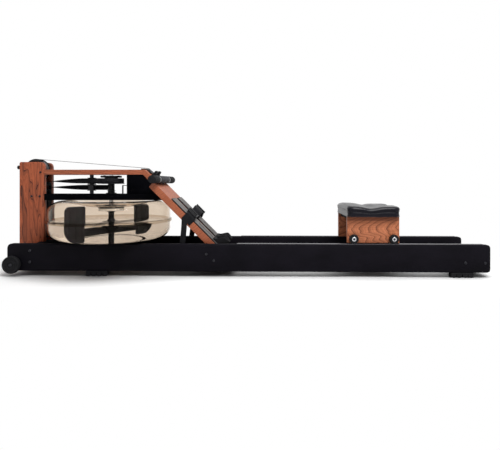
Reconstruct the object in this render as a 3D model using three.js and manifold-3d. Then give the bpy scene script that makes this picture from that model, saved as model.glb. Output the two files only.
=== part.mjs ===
// Water rowing machine: wooden head and foot plank, black rails, clear water tank,
// strap drive and rolling seat. Millimetres, +Z up, the tank end at -X, the tail at +X,
// the rower's left side at -Y. The origin is on the floor under the middle of the machine.
import * as THREE from 'three';
import { mergeVertices } from 'three/addons/utils/BufferGeometryUtils.js';
import Module from 'manifold-3d';

const wasm = await Module();
wasm.setup();

// Facets round wheels, pulleys and turned pieces
const wheel_segments = 20;
const turn_segments = 28;

// Clearances shared by every piece
const gap = 0.3;
const cut_overrun = 2;
const weld_distance = 0.001;

// Rails
const rail_length = 2100;
const rail_height = 119;
const rail_thickness = 28;
const rail_edge = 5;
const rail_corner = 16;
const rail_nose = 22;
const frame_width = 306;
const foot_height = 21;

// Rubber feet
const foot_length = 94;
const foot_width = 30;
const foot_lobe_radius = 6;
const foot_notch_half = 2;
const foot_notch_height = 14;
const foot_front_inset = 396.5;
const foot_rear_inset = 121;
const foot_lobes = 4;

// Seat tracks
const track_width = 20;
const track_height = 2.2;
const track_corner = 6.6;
const track_length = 1062;
const track_tail_inset = 28;

// Boards shared by mast, plank, deck and foot plank
const board_thickness = 23;
const board_edge = 2.5;

// Mast
const mast_depth = 116;
const mast_width = 92;
const mast_top = 504;
const mast_overhang = 8;
const mast_ground = 34;
const mast_nose = 8;
const mast_shoulder = 24;
const cover_thickness = 10;
const slot_width = 34;
const slot_height = 16;

// Front bearer and tail spacer
const bearer_thickness = 22;
const bearer_height = 100;
const bearer_inset = 90;
const tail_spacer_length = 120;
const tail_spacer_inset = 5;
const tail_spacer_height = 51;

// Top plank and deck
const plank_top = 468;
const deck_bottom = 327;
const deck_thickness = 29;

// Foot plank, measured along its slope from the mitre with the top plank
const slope_angle = Math.PI / 4;
const plank_overhang = 173;
const foot_plank_length = 592;
const foot_plank_neck = 112;
const foot_plank_width = 218;
const shoulder_radius = 20;
const cleat_depth = 42;
const cleat_thickness = 24;
const cleat_start = 440;
const cleat_length = 110;

// Bracket between deck and top plank
const web_reach = 88;
const web_width = 88;
const web_wall = 5;

// Foot pads, straps and heel rests, measured along the slope from the mitre
const pad_start = 190;
const pad_length = 288;
const pad_width = 99;
const pad_thickness = 6;
const pad_split = 9;
const pad_corner = 6;
const pad_edge = 1;
const strap_start = 269;
const foot_strap_width = 46;
const foot_strap_thickness = 3;
const foot_strap_rise = 28;
const strap_tail_width = 25;
const strap_tail_length = 105;
const arch_steps = 14;
const heel_start = 446;
const heel_plate_length = 48;
const heel_plate_thickness = 4;
const heel_width = 84;
const heel_wall = 5;
const heel_rise = 56;
const heel_front_height = 18;
const heel_slant_share = 0.6;

// Handle
const handle_length = 380;
const handle_radius = 15;
const grip_length = 88;
const grip_radius = 17.5;
const sleeve_length = 140;
const grip_wall = 6;
const grip_round = 8;
const grip_break = 2;
const sleeve_radius = 17.5;
const lug_length = 12;
const lug_height = 9;
const lug_width = 28;

// Handle rest and strap guide
const rest_start = 37;
const rest_base_length = 28;
const rest_base_height = 7;
const rest_width = 74;
const horn_length = 13;
const horn_width = 20;
const horn_height = 38;
const guide_reach = 26;
const guide_height = 6;
const guide_width = 40;

// Straps and pulleys
const strap_width = 24;
const strap_thickness = 1.8;
const wrap_steps = 12;
const twist_steps = 10;
const drive_pulley_radius = 50.5;
const drive_pulley_inset = 61;
const drive_pulley_height = 467;
const pulley_rim = 2.5;
const pulley_width = 34;
const pulley_axle_radius = 7;
const recoil_pulley_radius = 22;
const recoil_pulley_height = 362;
const idler_offset = 93;
const idler_radius = 17;
const idler_rim = 4;
const idler_height = 30;
const idler_rim_height = 2;
const post_radius = 9;

// Drum on the main shaft
const tank_mast_clear = 18;
const shaft_radius = 9.5;
const drum_bottom = 369;
const recoil_drum_height = 33;
const recoil_drum_radius = 15;
const recoil_rim = 4;
const drum_core_radius = 41;
const drum_flange_radius = 62;
const drum_flange_height = 2;
const drum_cap_radius = 48;
const drum_cap_neck = 30;
const drum_cap_height = 9;
const drum_cap_gap = 3;
const winding_loops = 6;
const winding_pitch = 2.7;
const winding_steps = 24;
const shaft_top_clear = 3;
const housing_radius = 16;
const housing_flange = 24;
const housing_flange_height = 4;

// Water tank
const tank_radius = 273;
const tank_lip = 6;
const tank_lip_height = 7;
const tank_height = 185;
const tank_seam = 92;
const tank_wall = 4;
const tank_flat_radius = 192;
const tank_lower_curve = 74;
const tank_upper_curve = 53;
const tank_segments = 36;
const tank_round_steps = 5;
const well_steps = 4;
const well_radius = 74;
const well_depth = 25;
const neck_radius = 30;
const neck_bore = 11;
const seal_radius = 70;
const seal_height = 6;
const seal_collar_radius = 30;
const seal_collar_height = 7;
const seal_ring_radius = 60;
const seal_ring_height = 14;
const water_depth = 86;

// Paddle
const paddle_turn = THREE.MathUtils.degToRad(64);
const blade_inner = 150;
const blade_outer = 254;
const blade_bottom = 153;
const blade_top = 304;
const blade_thickness = 5;
const blade_low_corner = 58;
const blade_high_corner = 20;
const arm_height = 34;
const arm_bottom = 172;
const hub_radius = 13;
const hub_top_radius = 23;
const hub_skirt_radius = 42;
const hub_skirt_height = 214;
const hub_skirt_edge = 4;
const hub_skirt_depth = 40;
const hub_waist_height = 240;
const hub_head = 14;
const arm_thickness = 9;
const arm_lap = 6;
const blade_inner_corner = 6;

// Transport wheels
const transport_radius = 38;
const transport_width = 22;
const transport_inset = 30;
const transport_height = 50;
const transport_stub_radius = 9;
const transport_standoff = 4;
const transport_hub_radius = 20;
const transport_recess = 3;
const transport_edge = 4;

// Seat
const seat_tail_inset = 494.5;
const seat_length = 227;
const seat_board_thickness = 20;
const seat_board_width = 256;
const seat_board_lift = 4;
const seat_top = 259;
const seat_base_thickness = 14;
const seat_base_inset = 12;
const seat_wheel_radius = 20;
const seat_wheel_width = 17;
const seat_wheel_inset = 27;
const seat_stub_radius = 6;
const seat_hub_recess = 1.5;
const track_standoff = 3;
const seat_hub_radius = 10;
const seat_wheel_edge = 3;

// Seat cushion
const cushion_length = 228;
const cushion_width = 318;
const cushion_height = 44;
const cushion_rise = 11;
const cushion_corner = 26;
const cushion_edge = 13;
const cushion_dip = 9;
const cushion_hollow = 7;
const cushion_notch = 12;
const cushion_notch_width = 34;
const cushion_side_draw = 4;
const cushion_shift = -1.5;
const cushion_points = 44;
const cushion_dip_shift = 12;
const cushion_dip_spread = 36;
const cushion_hollow_out = 66;
const cushion_hollow_spread = 48;
const cushion_notch_start = 48;
const cushion_notch_blend = 16;
const top_ring_shares = [0.2, 0.42, 0.62, 0.76];
const edge_turn_shares = [0, 0.3, 0.6, 0.8, 1];
const side_level_shares = [0.75, 0.5, 0.25];

// Sensor bracket
const sensor_width = 12;
const sensor_reach = 21;
const sensor_height = 40;
const sensor_wall = 3;

// Places worked out from the sizes above
const rail_centre_x = mast_overhang / 2;
const rail_front = rail_centre_x - rail_length / 2;
const rail_tail = rail_centre_x + rail_length / 2;
const rail_bottom = foot_height;
const rail_top = rail_bottom + rail_height;
const rail_outer = frame_width / 2;
const rail_inner = rail_outer - rail_thickness;
const rail_middle = rail_outer - rail_thickness / 2;
const mast_front = rail_front - mast_overhang;
const mast_rear = mast_front + mast_depth;
const mast_inside = mast_width / 2 - board_thickness;
const shaft_x = mast_rear + tank_mast_clear + tank_lip + tank_radius;
const idler_x = shaft_x - idler_offset;
const web_front = shaft_x + web_reach;
const mitre_x = shaft_x + plank_overhang;
const seat_x = rail_tail - seat_tail_inset;
const plank_bottom = plank_top - board_thickness;
const deck_top = deck_bottom + deck_thickness;
const tank_bottom = rail_top + gap;
const tank_top = tank_bottom + tank_height;
const tank_seam_z = tank_bottom + tank_seam;

// Colours and finishes
function finish(color, roughness, metalness = 0) {
  return new THREE.MeshStandardMaterial({ color, roughness, metalness });
}
const red_oak = () => finish(0xa55f3f, 0.55);
const seat_oak = () => finish(0xbe7858, 0.5);
const black_wood = () => finish(0x141218, 0.5);
const black_plastic = () => finish(0x17171a, 0.45);
const black_rubber = () => finish(0x1a1a1c, 0.85);
const webbing = () => finish(0x151517, 0.8);
const track_metal = () => finish(0x8a8a90, 0.4, 0.6);
const grey_pad = () => finish(0x77756f, 0.8);
const grey_metal = () => finish(0x8b8c8c, 0.4, 0.7);
const clear_tank = () => finish(0xe8d8c4, 0.1);
const tank_water = () => finish(0xd9c7b0, 0.1);
const leather = () => finish(0x1b1a22, 0.4);

const machine = new THREE.Group();

function add(name, geometry, material, parent = machine) {
  const mesh = new THREE.Mesh(geometry, material);
  mesh.name = name;
  parent.add(mesh);
  return mesh;
}

// Solids joined and cut
function to_solid(geometry) {
  const bare = geometry.clone();
  bare.deleteAttribute('normal');
  bare.deleteAttribute('uv');
  const merged = mergeVertices(bare, weld_distance);
  const vertProperties = new Float32Array(merged.attributes.position.array);
  const triVerts = new Uint32Array(merged.index.array);
  return new wasm.Manifold(new wasm.Mesh({ numProp: 3, vertProperties, triVerts }));
}

function to_geometry(solid) {
  const mesh = solid.getMesh();
  const geometry = new THREE.BufferGeometry();
  geometry.setAttribute('position', new THREE.BufferAttribute(mesh.vertProperties, 3));
  geometry.setIndex(new THREE.BufferAttribute(mesh.triVerts, 1));
  geometry.computeVertexNormals();
  return geometry;
}

function join(...geometries) {
  return to_geometry(geometries.map(to_solid).reduce((all, next) => all.add(next)));
}

function cut(geometry, ...tools) {
  return to_geometry(tools.map(to_solid).reduce((all, tool) => all.subtract(tool), to_solid(geometry)));
}

// Basic shapes placed in the machine's own axes
function block(length, width, height, x = 0, y = 0, z = 0) {
  return new THREE.BoxGeometry(length, width, height).translate(x, y, z);
}

function rod_up(radius, bottom, top, x = 0, y = 0, sides = wheel_segments) {
  const geometry = new THREE.CylinderGeometry(radius, radius, top - bottom, sides);
  return geometry.rotateX(Math.PI / 2).translate(x, y, (top + bottom) / 2);
}

function rod_across(radius, from_y, to_y, x, z, sides = wheel_segments) {
  const geometry = new THREE.CylinderGeometry(radius, radius, to_y - from_y, sides);
  return geometry.translate(x, (to_y + from_y) / 2, z);
}

// A profile of [radius, height] points turned about +Z
function turned(points, segments = turn_segments) {
  const profile = points.map(([r, z]) => new THREE.Vector2(r, z));
  return new THREE.LatheGeometry(profile, segments).rotateX(Math.PI / 2);
}

// A closed profile that does not touch the axis
function turned_ring(points, segments = turn_segments) {
  return turned([...points, points[0]], segments);
}

// A plate whose outline lies in the X-Z plane, its thickness along Y with rounded long edges
function upright(shape, thickness, edge, y_middle) {
  const geometry = new THREE.ExtrudeGeometry(shape, {
    depth: thickness - 2 * edge,
    bevelEnabled: edge > 0,
    bevelThickness: edge,
    bevelSize: edge,
    bevelOffset: -edge,
    bevelSegments: 2,
    curveSegments: 5,
  });
  return geometry.rotateX(Math.PI / 2).translate(0, y_middle + thickness / 2 - edge, 0);
}

// A plate whose outline lies in the X-Y plane, standing on bottom
function flat(shape, thickness, edge, bottom) {
  const geometry = new THREE.ExtrudeGeometry(shape, {
    depth: thickness - 2 * edge,
    bevelEnabled: edge > 0,
    bevelThickness: edge,
    bevelSize: edge,
    bevelOffset: -edge,
    bevelSegments: 2,
    curveSegments: 5,
  });
  return geometry.translate(0, 0, bottom + edge);
}

// A closed outline from corners, each with its own rounding radius
function rounded_outline(corners) {
  const shape = new THREE.Shape();
  const count = corners.length;
  const toward = (from, to, distance) => {
    const share = distance / Math.hypot(to[0] - from[0], to[1] - from[1]);
    return [from[0] + (to[0] - from[0]) * share, from[1] + (to[1] - from[1]) * share];
  };
  corners.forEach((corner, i) => {
    const before = corners[(i + count - 1) % count];
    const after = corners[(i + 1) % count];
    const radius = corner[2] ?? 0;
    const enter = radius > 0 ? toward(corner, before, radius) : corner;
    if (i === 0) {
      shape.moveTo(enter[0], enter[1]);
    } else {
      shape.lineTo(enter[0], enter[1]);
    }
    if (radius > 0) {
      const leave = toward(corner, after, radius);
      shape.quadraticCurveTo(corner[0], corner[1], leave[0], leave[1]);
    }
  });
  return shape;
}

function rectangle(x_low, x_high, z_low, z_high, radius = 0) {
  return rounded_outline([
    [x_low, z_low, radius],
    [x_high, z_low, radius],
    [x_high, z_high, radius],
    [x_low, z_high, radius],
  ]);
}

// Sides: the rower's left is at -Y
const sides = [
  ['left', -1],
  ['right', 1],
];

// Rails with their tracks and rubber feet
function add_rails() {
  const outline = rounded_outline([
    [rail_front, rail_bottom, rail_corner],
    [rail_tail, rail_bottom, rail_corner],
    [rail_tail, rail_top, rail_corner],
    [rail_front, rail_top, rail_nose],
  ]);
  const track_tail = rail_tail - track_tail_inset;
  for (const [side, sign] of sides) {
    add(`rail_${side}`, upright(outline, rail_thickness, rail_edge, sign * rail_middle), black_wood());
    const track = flat(
      rectangle(
        track_tail - track_length, track_tail,
        sign * rail_middle - track_width / 2, sign * rail_middle + track_width / 2,
        track_corner,
      ),
      track_height, 0, rail_top + gap,
    );
    add(`track_${side}`, track, track_metal());
    add_foot(`foot_front_${side}`, rail_front + foot_front_inset, sign * rail_middle);
    add_foot(`foot_rear_${side}`, rail_tail - foot_rear_inset, sign * rail_middle);
  }
}

// A rubber block whose underside is scalloped into lobes
function add_foot(name, x_middle, y_middle) {
  const start = x_middle - foot_length / 2;
  const lobe = foot_length / foot_lobes;
  const shape = new THREE.Shape();
  shape.moveTo(start, rail_bottom - gap);
  for (let i = 0; i < foot_lobes; i += 1) {
    const from = start + i * lobe + foot_notch_half;
    const to = start + (i + 1) * lobe - foot_notch_half;
    shape.lineTo(from, foot_notch_height);
    shape.lineTo(from, foot_lobe_radius);
    shape.quadraticCurveTo(from, 0, from + foot_lobe_radius, 0);
    shape.lineTo(to - foot_lobe_radius, 0);
    shape.quadraticCurveTo(to, 0, to, foot_lobe_radius);
    shape.lineTo(to, foot_notch_height);
  }
  shape.lineTo(start + foot_length, rail_bottom - gap);
  add(name, upright(shape, foot_width, 0, y_middle), black_rubber());
}

// Cross pieces between the rails
const cross_width = 2 * (rail_inner - gap);
const bearer_rear = rail_front + bearer_inset + bearer_thickness;
const bearer_x = bearer_rear - bearer_thickness / 2;

function add_cross_pieces() {
  const bearer = block(
    bearer_thickness, cross_width, bearer_height,
    bearer_x, 0, mast_ground + bearer_height / 2,
  );
  add('front_bearer', bearer, black_wood());
  const spacer_x = rail_tail - tail_spacer_inset - tail_spacer_length / 2;
  const spacer = block(
    tail_spacer_length, cross_width, board_thickness,
    spacer_x, 0, tail_spacer_height + board_thickness / 2,
  );
  add('tail_spacer', spacer, black_wood());
}

// Mast: two boards notched over the front bearer, a core block and a rear cover slotted for the strap
const pulley_x = mast_front + drive_pulley_inset;
const slot_low = recoil_pulley_height + recoil_pulley_radius + strap_thickness;

function add_mast() {
  const notch_x = bearer_x - bearer_thickness / 2 - gap;
  const notch_top = mast_ground + bearer_height + gap;
  const outline = rounded_outline([
    [mast_front, mast_ground],
    [notch_x, mast_ground],
    [notch_x, notch_top],
    [mast_rear, notch_top],
    [mast_rear, mast_top, mast_shoulder],
    [mast_front, mast_top, mast_nose],
  ]);
  for (const [side, sign] of sides) {
    const middle = sign * (mast_width / 2 - board_thickness / 2);
    add(`mast_board_${side}`, upright(outline, board_thickness, board_edge, middle), red_oak());
  }
  const core_length = notch_x - mast_front;
  const core = block(
    core_length, 2 * (mast_inside - gap), bearer_height,
    mast_front + core_length / 2, 0, mast_ground + bearer_height / 2,
  );
  add('mast_core', core, black_wood());
  const cover_bottom = rail_top + cover_thickness;
  const cover_top = drive_pulley_height - drive_pulley_radius - pulley_rim - 2 * strap_thickness;
  const cover_x = mast_rear - cover_thickness / 2;
  const cover = block(
    cover_thickness, 2 * (mast_inside - gap), cover_top - cover_bottom,
    cover_x, 0, (cover_top + cover_bottom) / 2,
  );
  const slot = block(cover_thickness + cut_overrun, slot_width, slot_height, cover_x, 0, slot_low);
  add('mast_cover', cut(cover, slot), black_plastic());
}

// The sloping foot plank has its own axes: +X down the slope, +Z square to it, from the mitre
const slope = new THREE.Group();
slope.position.set(mitre_x, 0, plank_top);
slope.rotation.y = slope_angle;
machine.add(slope);
slope.updateMatrixWorld(true);
const mitre_slant = Math.tan(slope_angle / 2);
const underside_sum = mitre_x + plank_top - (board_thickness + gap) / Math.cos(slope_angle);

// A prism from an outline in the X-Z plane, centred on y_middle
function prism(corners, width, y_middle = 0) {
  return upright(rounded_outline(corners), width, 0, y_middle);
}

// Top plank, deck and the bracket between them
function add_head() {
  const plank = prism([
    [mast_rear + gap, plank_bottom],
    [mitre_x - board_thickness * mitre_slant, plank_bottom],
    [mitre_x, plank_top],
    [mast_rear + gap, plank_top],
  ], mast_width);
  add('top_plank', plank, red_oak());

  const deck = prism([
    [mast_rear + gap, deck_bottom],
    [underside_sum - deck_bottom, deck_bottom],
    [underside_sum - deck_top, deck_top],
    [mast_rear + gap, deck_top],
  ], mast_width);
  const hole_low = deck_bottom - cut_overrun;
  const shaft_hole = rod_up(shaft_radius + gap, hole_low, deck_top + cut_overrun, shaft_x, 0);
  add('deck', cut(deck, shaft_hole), black_wood());

  const web_bottom = deck_top + gap;
  const web_top = plank_bottom - gap;
  const web_outline = [
    [web_front, web_bottom],
    [underside_sum - web_bottom, web_bottom],
    [underside_sum - web_top, web_top],
    [web_front, web_top],
  ];
  const web_room = [
    [web_front + web_wall, web_bottom - cut_overrun],
    [underside_sum - web_bottom + cut_overrun, web_bottom - cut_overrun],
    [underside_sum - web_bottom + cut_overrun, web_top + cut_overrun],
    [web_front + web_wall, web_top + cut_overrun],
  ];
  const web = cut(prism(web_outline, web_width), prism(web_room, web_width - 2 * web_wall));
  add('web_bracket', web, black_plastic());
}

// Foot plank: a narrow neck at the head, then a wide board with rounded shoulders
function add_foot_plank() {
  const neck = mast_width / 2;
  const half = foot_plank_width / 2;
  const outline = rounded_outline([
    [0, -neck],
    [foot_plank_neck, -neck],
    [foot_plank_neck, -half, shoulder_radius],
    [foot_plank_length, -half],
    [foot_plank_length, half],
    [foot_plank_neck, half, shoulder_radius],
    [foot_plank_neck, neck],
    [0, neck],
  ]);
  const board = flat(outline, board_thickness, 0, -board_thickness);
  const past = board_thickness + cut_overrun;
  const mitre_tool = prism([
    [gap - cut_overrun * mitre_slant, cut_overrun],
    [-past, cut_overrun],
    [-past, -past],
    [gap + past * mitre_slant, -past],
  ], mast_width + cut_overrun);
  add('foot_plank', cut(board, mitre_tool), red_oak(), slope);

  for (const [side, sign] of sides) {
    const cleat_middle = sign * (rail_inner - gap - cleat_thickness / 2);
    const cleat = block(
      cleat_length, cleat_thickness, cleat_depth,
      cleat_start + cleat_length / 2, cleat_middle, -board_thickness - gap - cleat_depth / 2,
    );
    add(`cleat_${side}`, cleat, black_wood(), slope);
    const pad_inner = sign * (pad_split / 2);
    const pad_outer = sign * (pad_split / 2 + pad_width);
    const pad_outline = rectangle(
      pad_start, pad_start + pad_length,
      Math.min(pad_inner, pad_outer), Math.max(pad_inner, pad_outer),
      pad_corner,
    );
    add(`foot_pad_${side}`, flat(pad_outline, pad_thickness, pad_edge, gap), grey_pad(), slope);
  }
}

// A flat band through stations, each with its place, its width direction and its thickness direction
function ribbon(stations, width, thickness) {
  const positions = [];
  for (const { place, across, out, wide = 1 } of stations) {
    for (const [a, b] of [[-1, -1], [1, -1], [1, 1], [-1, 1]]) {
      const corner = place.clone();
      corner.addScaledVector(across, (a * width * wide) / 2);
      corner.addScaledVector(out, (b * thickness) / 2);
      positions.push(corner.x, corner.y, corner.z);
    }
  }
  const index = [];
  const quad = (a, b, c, d) => index.push(a, b, c, a, c, d);
  for (let i = 0; i + 1 < stations.length; i += 1) {
    const from = 4 * i;
    const to = from + 4;
    for (let k = 0; k < 4; k += 1) {
      const next = (k + 1) % 4;
      quad(from + k, from + next, to + next, to + k);
    }
  }
  const last = 4 * (stations.length - 1);
  quad(3, 2, 1, 0);
  quad(last, last + 1, last + 2, last + 3);
  const geometry = new THREE.BufferGeometry();
  geometry.setAttribute('position', new THREE.Float32BufferAttribute(positions, 3));
  geometry.setIndex(index);
  return outward(geometry);
}

// Turns a closed shape's faces outward if they point in
function outward(geometry) {
  const position = geometry.attributes.position;
  const index = geometry.index;
  const [a, b, c] = [new THREE.Vector3(), new THREE.Vector3(), new THREE.Vector3()];
  let volume = 0;
  for (let i = 0; i < index.count; i += 3) {
    a.fromBufferAttribute(position, index.getX(i));
    b.fromBufferAttribute(position, index.getX(i + 1));
    c.fromBufferAttribute(position, index.getX(i + 2));
    volume += a.dot(b.cross(c));
  }
  if (volume < 0) {
    for (let i = 0; i < index.count; i += 3) {
      const second = index.getX(i + 1);
      index.setX(i + 1, index.getX(i + 2));
      index.setX(i + 2, second);
    }
  }
  geometry.computeVertexNormals();
  return geometry;
}

const vec = (x, y, z) => new THREE.Vector3(x, y, z);

// Foot straps arch over the pads from the plank's edge to the split between the pads
function add_foot_straps() {
  const half = foot_strap_thickness / 2;
  const outer = foot_plank_width / 2 + gap + half;
  const inner = pad_split / 2 - gap - half;
  const arch_foot = pad_thickness + 2 * gap + half;
  const arch_middle = (outer + inner) / 2;
  const arch_reach = (outer - inner) / 2;
  const down_slope = vec(1, 0, 0);
  const strap_middle = strap_start + foot_strap_width / 2;
  for (const [side, sign] of sides) {
    const stations = [];
    const station = (y, n, out_y, out_n) => stations.push({
      place: vec(strap_middle, sign * y, n),
      across: down_slope,
      out: vec(0, sign * out_y, out_n),
    });
    station(outer, -board_thickness, 1, 0);
    for (let i = 0; i <= arch_steps; i += 1) {
      const angle = (Math.PI * i) / arch_steps;
      const out = vec(0, Math.cos(angle) / arch_reach, Math.sin(angle) / foot_strap_rise).normalize();
      station(
        arch_middle + arch_reach * Math.cos(angle), arch_foot + foot_strap_rise * Math.sin(angle),
        out.y, out.z,
      );
    }
    station(inner, gap, -1, 0);
    const strap = ribbon(stations, foot_strap_width, foot_strap_thickness);
    strap.applyMatrix4(slope.matrixWorld);
    const tail_root = vec(strap_middle, 0, -board_thickness / 2).applyMatrix4(slope.matrixWorld);
    const tail = block(
      strap_tail_width, foot_strap_thickness, strap_tail_length,
      tail_root.x, sign * outer, tail_root.z - strap_tail_length / 2,
    );
    add(`foot_strap_${side}`, join(strap, tail), webbing());
  }
}

// Heel rests: a plate over the pad with a U-shaped cup that rises towards the heel
function add_heel_rests() {
  const bottom = gap + pad_thickness + gap;
  const half = heel_width / 2;
  const bend = heel_start + heel_plate_length / 2;
  for (const [side, sign] of sides) {
    const middle = sign * (pad_split / 2 + pad_width / 2);
    const footprint = new THREE.Shape();
    footprint.moveTo(heel_start, -half);
    footprint.lineTo(bend, -half);
    footprint.absarc(bend, 0, half, -Math.PI / 2, Math.PI / 2, false);
    footprint.lineTo(heel_start, half);
    const hollow = new THREE.Shape();
    hollow.moveTo(heel_start - cut_overrun, heel_wall - half);
    hollow.lineTo(bend, heel_wall - half);
    hollow.absarc(bend, 0, half - heel_wall, -Math.PI / 2, Math.PI / 2, false);
    hollow.lineTo(heel_start - cut_overrun, half - heel_wall);
    const body = flat(footprint, heel_rise, 0, bottom);
    const room = flat(hollow, heel_rise, 0, bottom + heel_plate_thickness);
    const top = bottom + heel_rise + cut_overrun;
    const low = bottom + heel_plate_thickness + heel_front_height;
    const slant = prism([
      [heel_start - cut_overrun, low],
      [heel_start - cut_overrun, top],
      [bend + half * heel_slant_share, top],
    ], heel_width + cut_overrun);
    const cup = cut(body, room, slant);
    cup.translate(0, middle, 0);
    add(`heel_rest_${side}`, cup, black_plastic(), slope);
  }
}

// Handle rest and strap guide
const rest_end = rest_start + rest_base_length;
const handle_down = rest_end + gap + sleeve_radius;
const handle_off = gap + sleeve_radius;
const lug_off = handle_off - lug_height / 2;

function add_rest_and_guide() {
  const base = block(
    rest_base_length, rest_width, rest_base_height,
    rest_start + rest_base_length / 2, 0, gap + rest_base_height / 2,
  );
  const horn = (sign) => block(
    horn_length, horn_width, horn_height,
    rest_end - horn_length / 2, (sign * (rest_width - horn_width)) / 2, gap + horn_height / 2,
  );
  add('handle_rest', join(base, horn(-1), horn(1)), black_plastic(), slope);

  const on_slope = (down, off) => {
    const place = vec(down, 0, off).applyMatrix4(slope.matrixWorld);
    return [place.x, place.z];
  };
  const guide = prism([
    [mitre_x - guide_reach, plank_top + gap],
    [mitre_x + gap * mitre_slant, plank_top + gap],
    on_slope(guide_reach, gap),
    on_slope(guide_reach, guide_height),
    [mitre_x + guide_height * mitre_slant, plank_top + guide_height, guide_height],
    [mitre_x - guide_reach, plank_top + guide_height],
  ], guide_width);
  add('strap_guide', guide, black_plastic());
}

// A wheel or pulley turned about Y from a profile of [radius, offset along Y]
function wheel_across(points, x, y, z, flip = 1) {
  const profile = points.map(([r, along]) => new THREE.Vector2(r, flip * along));
  return outward(new THREE.LatheGeometry(profile, wheel_segments).translate(x, y, z));
}

// A grooved pulley between the mast boards with its axle ends
function pulley_across(radius, x, z) {
  const half = pulley_width / 2;
  const groove = strap_width / 2 + 2 * gap;
  const rim = radius + pulley_rim;
  const reach = mast_inside - gap;
  return wheel_across([
    [0, -reach],
    [pulley_axle_radius, -reach],
    [pulley_axle_radius, -half],
    [rim, -half],
    [rim, -groove],
    [radius, -groove],
    [radius, groove],
    [rim, groove],
    [rim, half],
    [pulley_axle_radius, half],
    [pulley_axle_radius, reach],
    [0, reach],
  ], x, 0, z);
}

// Levels of the strap drum above its foot
const drum_plate = drum_bottom + recoil_drum_height;
const winding_bottom = drum_plate + drum_flange_height + gap;
const winding_top = winding_bottom + strap_width;
const drum_core_top = winding_top + gap;
const cap_bottom = drum_core_top + drum_cap_gap;
const strap_high = (winding_bottom + winding_top) / 2;
const strap_low = drum_bottom + recoil_drum_height / 2;
const step_turn = Math.PI / winding_steps;
const winding_inner = (drum_core_radius + gap) / Math.cos(step_turn) + strap_thickness / 2;
const winding_outer = winding_inner + winding_pitch * winding_loops + strap_thickness / 2;

function add_drum() {
  const bore = shaft_radius + gap;
  const drum = turned_ring([
    [bore, drum_bottom],
    [recoil_drum_radius + recoil_rim, drum_bottom],
    [recoil_drum_radius + recoil_rim, drum_bottom + drum_flange_height],
    [recoil_drum_radius, drum_bottom + drum_flange_height],
    [recoil_drum_radius, drum_plate],
    [drum_flange_radius, drum_plate],
    [drum_flange_radius, drum_plate + drum_flange_height],
    [drum_core_radius, drum_plate + drum_flange_height],
    [drum_core_radius, drum_core_top],
    [drum_cap_neck, drum_core_top],
    [drum_cap_neck, cap_bottom],
    [drum_cap_radius, cap_bottom],
    [drum_cap_radius, cap_bottom + drum_cap_height],
    [bore, cap_bottom + drum_cap_height],
  ]);
  add('strap_drum', outward(drum.translate(shaft_x, 0, 0)), black_plastic());

  const stations = [];
  const count = winding_loops * winding_steps;
  for (let i = 0; i <= count; i += 1) {
    const turn = (2 * Math.PI * i) / winding_steps;
    const radius = winding_inner + (winding_pitch * i) / winding_steps;
    const out = vec(Math.cos(turn), Math.sin(turn), 0);
    stations.push({ place: out.clone().multiplyScalar(radius), across: vec(0, 0, 1), out });
  }
  report_least_gap(stations);
  const winding = ribbon(stations, strap_width, strap_thickness);
  winding.rotateZ(-Math.PI / 2).translate(shaft_x, 0, strap_high);
  add('strap_winding', winding, webbing());
}

// Prints the least gap between neighbouring turns, measured at the stations and between them
function report_least_gap(stations) {
  let least = Infinity;
  for (let i = 0; i + winding_steps + 1 < stations.length; i += 1) {
    const inner = stations[i].place;
    const inner_middle = inner.clone().lerp(stations[i + 1].place, 1 / 2);
    const outer = stations[i + winding_steps].place;
    const outer_middle = outer.clone().lerp(stations[i + winding_steps + 1].place, 1 / 2);
    least = Math.min(least, outer.length() - inner.length(), outer_middle.length() - inner_middle.length());
  }
  console.log(`least gap of the wound strap to itself: ${(least - strap_thickness).toFixed(2)} mm`);
}

function add_shaft_and_posts() {
  const housing_top = drum_bottom - gap;
  const bore = shaft_radius + gap;
  const housing = turned_ring([
    [bore, deck_top + gap],
    [housing_flange, deck_top + gap],
    [housing_flange, deck_top + gap + housing_flange_height],
    [housing_radius, deck_top + gap + housing_flange_height],
    [housing_radius, housing_top],
    [bore, housing_top],
  ]);
  add('bearing_housing', outward(housing.translate(shaft_x, 0, 0)), black_plastic());
  const shaft = rod_up(shaft_radius, hub_top + gap, plank_bottom - shaft_top_clear, shaft_x, 0);
  add('main_shaft', shaft, grey_metal());
  const post = rod_up(post_radius, deck_top + gap, plank_bottom - gap, idler_x, 0);
  add('idler_post', post, black_plastic());
  for (const [level, middle] of [['upper', strap_high], ['lower', strap_low]]) {
    const low = middle - idler_height / 2;
    const high = middle + idler_height / 2;
    const idler = turned_ring([
      [post_radius + gap, low],
      [idler_radius + idler_rim, low],
      [idler_radius + idler_rim, low + idler_rim_height],
      [idler_radius, low + idler_rim_height],
      [idler_radius, high - idler_rim_height],
      [idler_radius + idler_rim, high - idler_rim_height],
      [idler_radius + idler_rim, high],
      [post_radius + gap, high],
    ], wheel_segments);
    add(`idler_${level}`, outward(idler.translate(idler_x, 0, 0)), black_plastic());
  }
}

// Drive strap: from the drum past the idler, turned flat into the mast and up round the pulley
const wrap_turn = Math.PI / wrap_steps;
const drive_wrap = (drive_pulley_radius + gap) / Math.cos(wrap_turn / 2) + strap_thickness / 2;
const recoil_wrap = (recoil_pulley_radius + gap) / Math.cos(wrap_turn) + strap_thickness / 2;
const idler_pass = idler_radius + gap + strap_thickness / 2;
const up = vec(0, 0, 1);

// Where a straight strap from the idler touches a drum; side is the sign of Y there
function drum_touch(radius, side) {
  const along = idler_x - shaft_x;
  const off = side * idler_pass;
  const towards = Math.atan2(off, along);
  const angle = towards - side * Math.acos(radius / Math.hypot(along, off));
  return vec(Math.cos(angle), Math.sin(angle), 0);
}

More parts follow.
